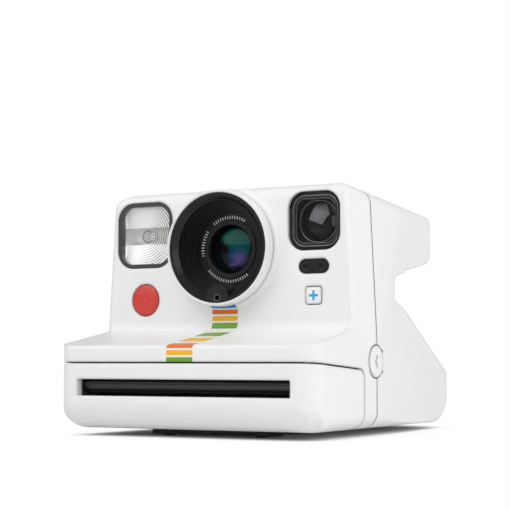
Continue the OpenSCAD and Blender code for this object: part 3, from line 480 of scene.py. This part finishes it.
class INSTANT_CAMERA_OT_shells(Operator):
    """White shells, film door, lens ring, door switch and the printed bars"""

    bl_idname = "instant_camera.shells"
    bl_label = "White shells"

    def execute(self, context):
        looks = context.scene.camera_shells
        dress(white_shell(looks, "white_shell"), "film_door", "lens_ring", "door_switch")
        rear = white_shell(looks, "rear_shell")
        dark_seam(rear)
        dress(rear, "rear_shell")
        front = white_shell(looks, "printed_shell")
        printed_bars(front, looks)
        dark_gaps(front)
        dark_seam(front)
        dress(front, "front_shell")
        return {"FINISHED"}


def plus_sign(button, looks):
    """Printed plus on the face of its button, and the button's unlit flanks."""
    x, y, z = button.place
    aside, above = (button.size(step) for step in button.apart(PLUS))
    bar = button.product(button.less(aside, looks.sign_reach), button.less(above, looks.sign_half))
    pole = button.product(button.less(above, looks.sign_reach), button.less(aside, looks.sign_half))
    button.paint(button.math("MAXIMUM", bar, pole), shade(looks.sign))
    button.paint(button.more(y, BEHIND_FACE), UNLIT)


class INSTANT_CAMERA_OT_controls(Operator):
    """Shutter button, plus button, sensor window and the rear controls"""

    bl_idname = "instant_camera.controls"
    bl_label = "Controls"

    def execute(self, context):
        looks = context.scene.camera_controls
        red = plastic("red_button", looks.red, 0.36, speckle=0.03, grain=800.0, edge=0.0006, bump=0.03)
        dress(red, "shutter_button")
        plus = white_shell(context.scene.camera_shells, "plus_button")
        plus_sign(plus, looks)
        dress(plus, "plus_button")
        pane = plastic("sensor_pane", looks.pane, 0.22, grain=500.0, edge=0.0003)
        dress(pane, "sensor_window", "counter_window")
        key = plastic("rear_key", looks.rear_key, 0.45, edge=0.0004, bump=0.05)
        dress(key, "power_button", "flash_button")
        return {"FINISHED"}


# Painted light on the steps of the bezel: radii from the lens axis, and the share of each step that is in
# shade
STEP_START = 0.0012
STEP_END = 0.0212
STEP_PITCH = 0.0009
STEP_SHADE = 0.72
STEP_LIGHT = (0.12, 0.5)
# Radii and strength of the painted highlight line at the bezel's outer rim
RIM_HIGHLIGHT = (0.0213, 0.0216)
RIM_HIGHLIGHT_SHARE = 0.5


def bezel_steps(bezel, looks):
    """Painted light on the crests of the steps round the lens, brighter at the top, and a painted highlight
    line at the outer rim.
    """
    right, up = bezel.apart(LENS)
    radius = bezel.distance(right, up)
    slope = bezel.window(radius, looks.mark_radius + STEP_START, STEP_END)
    crest = bezel.more(bezel.math("FRACT", bezel.math("DIVIDE", radius, STEP_PITCH)), STEP_SHADE)
    light = bezel.ramp(bezel.math("DIVIDE", up, radius), *STEP_LIGHT)
    bezel.paint(bezel.product(slope, crest, light), grey(0.05))
    bezel.paint(bezel.product(bezel.window(radius, *RIM_HIGHLIGHT), RIM_HIGHLIGHT_SHARE), grey(0.16))


LOBE_RISE = 0.0006
LOBE_RADIUS = 0.0047
HOLE_HIGHLIGHT = (0.0014, 0.0011)
LOBE_SOFT = 0.0001


def sensor_lobe(bezel):
    """Lobe round the filter sensor's hole painted a lighter black, and a painted highlight on the rim of
    the hole.
    """
    hole = middle("filter_sensor")[2] - LENS[2]
    lobe = spot(bezel, (0.0, hole + LOBE_RISE), LOBE_RADIUS, LOBE_SOFT)
    bezel.paint(lobe, (0.015, 0.015, 0.0155, 1.0))
    outer, inner = (spot(bezel, (0.0, hole), radius, LOBE_SOFT) for radius in HOLE_HIGHLIGHT)
    # Painted highlight on the rim of the hole
    bezel.paint(bezel.left_over(outer, inner), grey(0.13))


# Marks round the lens: half their length, the share of the pitch, and their arcs in turns from the left
MARK_HALF = 0.0006
MARK_SHARE = 0.34
MARK_ARCS = ((0.66, 0.86), (0.11, 0.36), (0.9, 1.01), (-0.01, 0.03))


def printed_marks(bezel, looks):
    """Plain tick marks in arcs round the lens."""
    right, up = bezel.apart(LENS)
    turn = bezel.math("DIVIDE", bezel.math("ARCTAN2", up, right), 2 * math.pi)
    turn = bezel.math("ADD", turn, 0.5)
    low, high = looks.mark_radius - MARK_HALF, looks.mark_radius + MARK_HALF
    ring = bezel.window(bezel.distance(right, up), low, high)
    tick = bezel.less(bezel.math("FRACT", bezel.product(turn, looks.mark_count)), MARK_SHARE)
    for start, end in MARK_ARCS:
        bezel.paint(bezel.product(ring, tick, bezel.window(turn, start, end)), grey(0.62))


# Painted reflections in the front lens: centre from the lens axis, reach and softness of the rim
GLASS_REFLECTIONS = {
    "upper": ((0.0014, 0.0014), 0.0066, 0.0007),
    "left": ((-0.0052, -0.0016), 0.0052, 0.0016),
    "streak": ((0.0002, -0.0118), 0.0118, 0.0004),
    "lower": ((0.0026, -0.0026), 0.0032, 0.0022),
    "corner": ((0.0048, -0.0046), 0.003, 0.0024),
    "rim": ((0.0, 0.0), 0.0066, 0.0003),
    "rim_cut": ((0.0, 0.0012), 0.0066, 0.0003),
    "rim_part": ((0.0016, -0.006), 0.0026, 0.001),
}
GLASS_BLACK = (0.003, 0.003, 0.004, 1.0)
REFLECTION_STREAK_TONE = (0.002, 0.006, 0.008, 1.0)
REFLECTION_STREAK_SHARE = 0.75
REFLECTION_ARC_SHARE = 0.8


def coated_glass(looks):
    """Dark coated lens with painted reflections: green above, blue to violet below right and black at the
    left.
    """
    glass = Finish("coated_glass", GLASS_BLACK)
    shape = {name: spot(glass, *values) for name, values in GLASS_REFLECTIONS.items()}
    cloud = glass.ramp(glass.noise(110.0, 2.0), 0.35, 1.2)
    violet = shade(looks.reflection_edge)
    # Painted reflections: green patch above, dark streak, blue and violet patches and an arc at the lower
    # rim
    glass.paint(glass.product(shape["upper"], glass.rest(shape["left"]), cloud), shade(looks.reflection_high))
    glass.paint(glass.product(shape["streak"], REFLECTION_STREAK_SHARE), REFLECTION_STREAK_TONE)
    glass.paint(shape["lower"], shade(looks.reflection_low))
    glass.paint(glass.product(shape["corner"], shape["lower"]), violet)
    arc = glass.left_over(shape["rim"], shape["rim_cut"])
    glass.paint(glass.product(arc, shape["rim_part"], REFLECTION_ARC_SHARE), violet)
    glass.fill("Roughness", glass.ramp(glass.noise(400.0), 0.03, 0.05))
    glass.fill("Specular IOR Level", 0.12)
    return glass


class INSTANT_CAMERA_OT_lens(Operator):
    """Bezel with its printed marks, barrel and coated glass with painted reflections"""

    bl_idname = "instant_camera.lens"
    bl_label = "Lens"

    def execute(self, context):
        looks = context.scene.camera_lens
        bezel = plastic("lens_bezel", looks.black, 0.3, bump=0.02)
        bezel.fill("Specular IOR Level", 0.3)
        bezel_steps(bezel, looks)
        sensor_lobe(bezel)
        printed_marks(bezel, looks)
        dress(bezel, "lens_bezel")
        dress(plastic("lens_barrel", looks.black, 0.25, edge=0.0002), "lens_barrel")
        dress(coated_glass(looks), "front_lens")
        dark = plastic("dark_glass", looks.dark_glass, 0.05, grain=300.0, coat=0.6)
        dress(dark, "rear_lens", "filter_sensor", "eyepiece_lens")
        return {"FINISHED"}


# Mirroring of a clear pane: least share, what a flat angle adds, and how late it adds it
PANE_LEAST = 0.035
PANE_RISE = 0.96
PANE_POWER = 5.0
PANE_GRAIN = 500.0
PANE_SPREAD = 0.2


def clear_pane(name, tint, roughness):
    """Clear moulded pane that mirrors at flat angles and lets the light in; tint draws its colour."""
    pane = Tree(bpy.data.materials.new(name))
    through = pane.add("ShaderNodeBsdfTransparent")
    pane.set(through.inputs["Color"], tint(pane))
    gloss = pane.add("ShaderNodeBsdfGlossy")
    least, most = roughness * (1 - PANE_SPREAD), roughness * (1 + PANE_SPREAD)
    pane.set(gloss.inputs["Roughness"], pane.ramp(pane.noise(PANE_GRAIN), least, most))
    slant = pane.math("POWER", pane.add("ShaderNodeLayerWeight").outputs["Facing"], PANE_POWER)
    seen = pane.blend(pane.math("MULTIPLY_ADD", slant, PANE_RISE, PANE_LEAST), through, gloss)
    shadow = pane.add("ShaderNodeLightPath").outputs["Is Shadow Ray"]
    pane.surface(pane.blend(shadow, seen, pane.add("ShaderNodeBsdfTransparent")))
    return pane


# Circles of the flash's flat lens: share that is clear, and the slant and limits of their painted shade
RING_CLEAR = 0.66
RING_SLANT = 0.35
RING_FROM, RING_TO = -0.002, 0.009
RING_SHADE_FAINT, RING_SHADE_DARK = 0.05, 0.85


def flash_tint(pitch):
    """Fine circles of the flat lens with painted groove shade, darker to the right."""

    def draw(pane):
        """Draws the circles on a pane's tint."""
        x, y, z = pane.place
        right, up = pane.apart(FLASH)
        wave = pane.math("FRACT", pane.math("DIVIDE", pane.distance(right, up), pitch))
        across = pane.math("SUBTRACT", right, pane.product(up, RING_SLANT))
        # Painted shade in the circles, growing towards the right
        depth = pane.smooth(across, RING_FROM, RING_TO, RING_SHADE_FAINT, RING_SHADE_DARK)
        shown = pane.product(pane.more(wave, RING_CLEAR), depth, pane.less(y, FLASH[1]))
        return pane.mix(shown, grey(0.97), (0.24, 0.24, 0.23, 1.0))

    return draw


# Round forms in the tube's band: step to the right, reach, softness of the rim and colour
TUBE_RINGS = (
    (-0.0023, 0.0027, 0.0001, (0.1, 0.1, 0.098, 1.0)),
    (-0.0023, 0.0022, 0.0002, (0.46, 0.46, 0.45, 1.0)),
    (0.0003, 0.0021, 0.0001, grey(0.25)),
    (0.0003, 0.0016, 0.0001, grey(0.85)),
    (0.0003, 0.0011, 0.0001, grey(0.22)),
    (0.0003, 0.0007, 0.0001, grey(0.8)),
)
BAND_MARGIN = 0.00005
BAND_CLOUD = ((0.3, 0.3, 0.29, 1.0), (0.95, 0.95, 0.93, 1.0))
# Painted glow of the flash insert: strength elsewhere and on the lower band, and its colour
INSERT_PAINTED_GLOW = (0.13, 0.22)
PAINTED_GLOW_TONE = (1.0, 1.0, 0.99, 1.0)


def insert_finish(looks):
    """Bright bands of the flash with the tube's cloudy band between them; a painted glow lights the insert,
    more on the lower band.
    """
    silver = plastic("reflector", looks.mirror, 0.32, speckle=0.03, grain=500.0, metallic=0.15)
    x, y, z = silver.place
    band = silver.less(silver.size(z), looks.band_half + BAND_MARGIN)
    cloud = silver.mix(silver.noise(200.0, 2.0), *BAND_CLOUD)
    for right, reach, soft, tone in TUBE_RINGS:
        cloud = silver.mix(spot(silver, (right, 0.0), reach, soft, OWN_ORIGIN), cloud, tone)
    silver.paint(band, cloud)
    lower = silver.product(silver.rest(band), silver.less(z, 0.0))
    # Painted light: the insert glows, more below the band
    silver.fill("Emission Color", PAINTED_GLOW_TONE)
    silver.fill("Emission Strength", silver.ramp(lower, *INSERT_PAINTED_GLOW))
    return silver


INSERT_GAP = 0.0002
INSERT_STEP = 0.0012
INSERT_DEPTH = 0.003


def insert_mesh(band_half):
    """Folded form behind the flash window: a deep band for the tube between two sloped ones."""
    half_w, half_h = half_size("flash_window")
    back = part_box("flash_window")[1][1] + INSERT_GAP
    profile = [(0.0, half_h), (INSERT_STEP, band_half), (INSERT_DEPTH, band_half)]
    profile += [(deep, -up) for deep, up in reversed(profile)]
    points = [(side * half_w, back + deep, up) for deep, up in profile for side in (-1, 1)]
    faces = [(k, k + 2, k + 3, k + 1) for k in range(0, len(points) - 2, 2)]
    faces += [tuple(range(0, len(points), 2)), tuple(range(1, len(points), 2))]
    mesh = bpy.data.meshes.new("flash_insert")
    mesh.from_pydata(points, [], faces)
    return mesh


class INSTANT_CAMERA_OT_flash(Operator):
    """Flash frame, clear window, reflector and tube"""

    bl_idname = "instant_camera.flash"
    bl_label = "Flash"

    def execute(self, context):
        looks = context.scene.camera_flash
        dress(plastic("flash_frame", looks.surround, 0.28, grain=700.0, edge=0.0003), "flash_frame")
        dress(clear_pane("flash_pane", flash_tint(looks.ring_pitch), 0.04), "flash_window")
        silver = insert_finish(looks)
        place = (FLASH[0], 0.0, FLASH[2])
        mesh = insert_mesh(looks.band_half)
        insert = new_piece("flash_insert", mesh, place, silver, "body")
        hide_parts("flash_reflector")
        dress(silver, "flash_reflector")
        dress(plastic("flash_tube", looks.tube, 0.12, grain=500.0, metallic=0.3, coat=0.5), "flash_tube")
        return {"FINISHED"}


def finder_tint(pane):
    """Faintly blue tint of the viewfinder window."""
    return (0.92, 0.93, 0.94, 1.0)


# Painted reflections in the ball lens: corners from its middle, anticlockwise, and their level
FINDER_REFLECTIONS = (
    (((-0.0042, -0.0032), (0.0002, -0.0072), (0.005, -0.0056), (0.0056, -0.0034), (0.0012, -0.003)), 0.022),
    (((-0.0034, 0.0006), (0.0022, -0.0015), (0.0048, 0.0026), (0.0026, 0.0076), (-0.0013, 0.0074)), 0.19),
    (((0.0055, -0.002), (0.0072, -0.002), (0.0072, 0.002), (0.0055, 0.002)), 0.14),
    (((0.005, 0.0032), (0.0068, 0.003), (0.0055, 0.006), (0.0041, 0.006)), 0.06),
)
REFLECTION_SOFT = 0.00014
REFLECTION_BLUE = 1.02


def ball_finish(looks):
    """Black ball lens with painted grey reflections."""
    ball = plastic("finder_bead", looks.ball, 0.05, grain=300.0)
    ball.fill("Specular IOR Level", 0.15)
    for corners, level in FINDER_REFLECTIONS:
        ball.paint(area(ball, corners, REFLECTION_SOFT, BALL), (level, level, level * REFLECTION_BLUE, 1.0))
    return ball


def bead_outline(half_w, half_h, corner, steps=10):
    """Points of an upright rounded frame round its own middle."""
    points = []
    for sx, sz, start in ((1, 1, 0), (-1, 1, 90), (-1, -1, 180), (1, -1, 270)):
        for k in range(steps + 1):
            a = math.radians(start + 90 * k / steps)
            x = sx * (half_w - corner) + corner * math.cos(a)
            z = sz * (half_h - corner) + corner * math.sin(a)
            points.append((x, z))
    return points


def bead_mesh(name, frames, around=8):
    """Thin round beads along upright frames, each given as outline, depth and radius."""
    points, faces = [], []
    for outline, depth, radius in frames:
        count, first = len(outline), len(points)
        for k, (x, z) in enumerate(outline):
            ahead, behind = outline[(k + 1) % count], outline[k - 1]
            run = Vector((ahead[0] - behind[0], ahead[1] - behind[1])).normalized()
            for turn in range(around):
                a = 2 * math.pi * turn / around
                out = radius * math.cos(a)
                points.append((x + run[1] * out, depth + radius * math.sin(a), z - run[0] * out))
        for k in range(count):
            a, b = first + k * around, first + (k + 1) % count * around
            for turn in range(around):
                after = (turn + 1) % around
                faces.append((a + turn, a + after, b + after, b + turn))
    mesh = bpy.data.meshes.new(name)
    mesh.from_pydata(points, [], faces)
    mesh.polygons.foreach_set("use_smooth", [True] * len(faces))
    return mesh


# Beads round the viewfinder window: inset from its edge, corner, depth behind it and radius
FINDER_BEADS = (
    (0.0016, 0.0048, 0.0, 0.0003),
    (0.0027, 0.0037, 0.0003, 0.00022),
    (0.0032, 0.0072, 0.0028, 0.0003),
)


class INSTANT_CAMERA_OT_finder(Operator):
    """Viewfinder window, tunnel, objective and beads, eyepiece and feet"""

    bl_idname = "instant_camera.finder"
    bl_label = "Viewfinder"

    def execute(self, context):
        looks = context.scene.camera_finder
        dress(clear_pane("finder_pane", finder_tint, 0.02), "viewfinder_window")
        tunnel = plastic("finder_tunnel", looks.tunnel, 0.3, grain=700.0, edge=0.0003)
        dress(tunnel, "viewfinder_tunnel")
        dress(ball_finish(looks), "viewfinder_objective")
        half_w, half_h = half_size("viewfinder_window")
        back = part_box("viewfinder_window")[1][1]
        frames = [
            (bead_outline(half_w - inset, half_h - inset, corner), back + depth, radius)
            for inset, corner, depth, radius in FINDER_BEADS
        ]
        mesh = bead_mesh("finder_beads", frames)
        beads = plastic("finder_beads", looks.beads, 0.2, grain=600.0, metallic=0.7, coat=0.3)
        new_piece("finder_beads", mesh, (FINDER[0], 0.0, FINDER[2]), beads, "body")
        dress(plastic("rubber", looks.rubber, 0.7, edge=0.0003, bump=0.1), "eyepiece", "feet")
        return {"FINISHED"}


# Finishes of the base and the works: name, colour, roughness, metal and the nodes that have it
INNER_FINISHES = (
    ("black_plastic", (0.012, 0.012, 0.012), 0.5, 0.0,
     ("film_tray", "picture_frame", "light_chamber", "shutter_blade_left", "shutter_blade_right")),
    ("dark_plastic", (0.04, 0.04, 0.042), 0.5, 0.0,
     ("base_plate", "door_pad", "shutter_cover", "button_switches", "flash_capacitor")),
    ("bare_steel", (0.5, 0.51, 0.53), 0.32, 1.0,
     ("base_screws", "shutter_plate", "door_latch", "hinge_pins", "roller_frame",
      "upper_roller", "lower_roller", "motor_pinion", "gear_plate", "pick_arm",
      "usb_port", "strap_pins", "motor")),
    ("brass", (0.62, 0.43, 0.17), 0.3, 1.0,
     ("tripod_socket",)),
    ("gear_white", (0.72, 0.7, 0.64), 0.5, 0.0,
     ("upper_roller_gear", "lower_roller_gear", "drive_gear")),
    ("board_green", (0.02, 0.12, 0.05), 0.42, 0.0,
     ("sensor_board", "button_boards", "main_board", "rear_board")),
    ("cell_foil", (0.5, 0.51, 0.52), 0.38, 1.0,
     ("battery",)),
    ("mirror_silver", (0.86, 0.88, 0.9), 0.03, 1.0,
     ("chamber_mirror",)),
)
SHIELD_BLACK = (0.014, 0.014, 0.0145)
# Painted highlight lines along the film shield: lower and upper edge from the slot's middle, and their
# level
SHIELD_HIGHLIGHTS = (
    (-0.0003, 0.0013, 0.024),
    (0.0016, 0.0019, 0.06),
    (-0.0018, -0.0015, 0.045),
)


def shield_finish():
    """Glossy black sheet in the film slot, with painted highlight lines along it."""
    sheet = plastic("film_shield", SHIELD_BLACK, 0.24, speckle=0.06, grain=800.0, edge=0.0002)
    x, y, z = sheet.place
    slot_middle = (middle("upper_roller")[2] + middle("lower_roller")[2]) / 2
    rise = sheet.math("SUBTRACT", z, slot_middle)
    for low, high, level in SHIELD_HIGHLIGHTS:
        sheet.paint(sheet.window(rise, low, high), grey(level))
    return sheet


class INSTANT_CAMERA_OT_inside(Operator):
    """Base, door works, rollers, drive, film chamber and boards"""

    bl_idname = "instant_camera.inside"
    bl_label = "Base and works"

    def execute(self, context):
        for name, base, roughness, metal, members in INNER_FINISHES:
            finish = plastic(
                name, base, roughness, speckle=0.06, grain=800.0, edge=0.0002, bump=0.02, metallic=metal
            )
            dress(finish, *members)
        dress(shield_finish(), "film_shield")
        return {"FINISHED"}


# Lights: place, width and height in metres, and the property that holds the power
LIGHTS = {
    "broad_light": ((-0.22, -0.74, 0.86), (1.4, 1.4), "key"),
    "right_light": ((1.0, 0.1, 0.52), (1.6, 0.95), "side"),
}
LIGHT_TARGET = (0.0, 0.0, 0.05)


def aimed_light(name, place, size, power):
    """Square-cornered area light that looks at the camera's middle."""
    data = bpy.data.lights.new(name, "AREA")
    data.shape = "RECTANGLE"
    data.size, data.size_y = size
    data.energy = power
    lamp = bpy.data.objects.new(name, data)
    lamp.location = place
    lamp.rotation_euler = (Vector(LIGHT_TARGET) - Vector(place)).to_track_quat("-Z", "Y").to_euler()
    bpy.context.scene.collection.objects.link(lamp)


FLOOR_HALF = 6.0
FLOOR_GRAIN = 6.0
FLOOR_SPECKLE = 0.005
# Share of open sky over the floor at which it is plain white, and the least white under the camera
OPEN_SHARE = 0.7
LEAST_WHITE = 0.03


def floor_finish(looks):
    """Pale floor that keeps the shadow close to the camera, adds a faint painted contact shade there, and
    goes to plain white away from it.
    """
    floor = Tree(bpy.data.materials.new("studio_floor"))
    darker, lighter = (shade(looks.floor, 1 + sign * FLOOR_SPECKLE) for sign in (-1, 1))
    plain = floor.mix(floor.noise(FLOOR_GRAIN), darker, lighter)
    near = floor.add("ShaderNodeAmbientOcclusion", samples=8)
    near.inputs["Distance"].default_value = looks.shadow_reach
    floor.set(near.inputs["Color"], plain)
    path = floor.add("ShaderNodeLightPath")
    seen = floor.math("MAXIMUM", path.outputs["Is Camera Ray"], path.outputs["Is Transmission Ray"])
    soft = floor.add("ShaderNodeBsdfDiffuse")
    # Painted contact shade: camera rays see the floor's colour partly darkened by ambient occlusion
    tone = floor.mix(floor.product(seen, looks.contact), plain, near.outputs["Color"])
    floor.set(soft.inputs["Color"], tone)
    away = floor.smooth(near.outputs["AO"], 0.0, OPEN_SHARE, LEAST_WHITE, 1.0)
    floor.surface(floor.blend(floor.product(seen, away), soft, floor.add("ShaderNodeEmission")))
    return floor


def add_floor(looks):
    """Wide floor under the camera."""
    mesh = bpy.data.meshes.new("studio_floor")
    corners = [(sx * FLOOR_HALF, sy * FLOOR_HALF, 0.0) for sx, sy in ((-1, -1), (1, -1), (1, 1), (-1, 1))]
    mesh.from_pydata(corners, [], [(0, 1, 2, 3)])
    mesh.materials.append(floor_finish(looks).owner)
    ground = bpy.data.objects.new("studio_floor", mesh)
    bpy.context.scene.collection.objects.link(ground)


def studio_world(strength):
    """Surroundings that give a weak light and show as plain white."""
    world = bpy.data.worlds.new("studio_world")
    sky = Tree(world, "ShaderNodeOutputWorld")
    light = sky.add("ShaderNodeBackground")
    light.inputs["Color"].default_value = WHITE
    light.inputs["Strength"].default_value = strength
    white = sky.add("ShaderNodeBackground")
    white.inputs["Color"].default_value = WHITE
    seen = sky.add("ShaderNodeLightPath").outputs["Is Camera Ray"]
    sky.surface(sky.blend(seen, light, white))
    bpy.context.scene.world = world


# View of the photograph: place in metres, turns in degrees, lens and sensor in millimetres
VIEW_PLACE = (0.2924, -0.5438, 0.0288)
VIEW_TILT = 93.636
VIEW_TURN = 29.056
VIEW_LENS = 105.445
VIEW_SENSOR = 36.0
VIEW_SHIFT = 0.0208
VIEW_NEAREST = 0.01


def add_view():
    """Camera of the scene, at the photograph's place."""
    data = bpy.data.cameras.new("photo_view")
    data.lens = VIEW_LENS
    data.sensor_width = VIEW_SENSOR
    data.shift_y = VIEW_SHIFT
    data.clip_start = VIEW_NEAREST
    eye = bpy.data.objects.new("photo_view", data)
    eye.location = VIEW_PLACE
    eye.rotation_euler = (math.radians(VIEW_TILT), 0.0, math.radians(VIEW_TURN))
    bpy.context.scene.collection.objects.link(eye)
    bpy.context.scene.camera = eye


class INSTANT_CAMERA_OT_stage(Operator):
    """Floor, lights, surroundings and the view of the photograph"""

    bl_idname = "instant_camera.stage"
    bl_label = "Stage"

    def execute(self, context):
        looks = context.scene.camera_stage
        add_floor(looks)
        studio_world(looks.sky)
        for name, (place, size, power) in LIGHTS.items():
            aimed_light(name, place, size, getattr(looks, power))
        add_view()
        context.scene.view_settings.view_transform = "Standard"
        return {"FINISHED"}


GROUPS = {
    "camera_shells": ShellLooks,
    "camera_controls": ControlLooks,
    "camera_lens": LensLooks,
    "camera_flash": FlashLooks,
    "camera_finder": FinderLooks,
    "camera_stage": StageLooks,
}
STEPS = (
    INSTANT_CAMERA_OT_stage,
    INSTANT_CAMERA_OT_shells,
    INSTANT_CAMERA_OT_controls,
    INSTANT_CAMERA_OT_lens,
    INSTANT_CAMERA_OT_flash,
    INSTANT_CAMERA_OT_finder,
    INSTANT_CAMERA_OT_inside,
)


class INSTANT_CAMERA_PT_looks(Panel):
    """Lists the finishes and the steps that apply them"""

    bl_idname = "INSTANT_CAMERA_PT_looks"
    bl_label = "Instant Camera"
    bl_space_type = "VIEW_3D"
    bl_region_type = "UI"
    bl_category = "Instant Camera"

    def draw(self, context):
        """Shows each group's values and a button for each step."""
        for name in GROUPS:
            group = getattr(context.scene, name)
            box = self.layout.box()
            for key in group.__annotations__:
                box.prop(group, key)
        for step in STEPS:
            self.layout.operator(step.bl_idname)


def register():
    """Adds the groups, the steps and the panel to Blender."""
    for name, group in GROUPS.items():
        bpy.utils.register_class(group)
        setattr(bpy.types.Scene, name, PointerProperty(type=group))
    for step in STEPS:
        bpy.utils.register_class(step)
    bpy.utils.register_class(INSTANT_CAMERA_PT_looks)


def unregister():
    """Takes the panel, the steps and the groups out again."""
    bpy.utils.unregister_class(INSTANT_CAMERA_PT_looks)
    for step in reversed(STEPS):
        bpy.utils.unregister_class(step)
    for name, group in GROUPS.items():
        delattr(bpy.types.Scene, name)
        bpy.utils.unregister_class(group)


def main():
    """Runs each step in order."""
    register()
    for step in STEPS:
        family, name = step.bl_idname.split(".")
        getattr(getattr(bpy.ops, family), name)()
    bpy.context.view_layer.update()


if __name__ == "__main__":
    main()
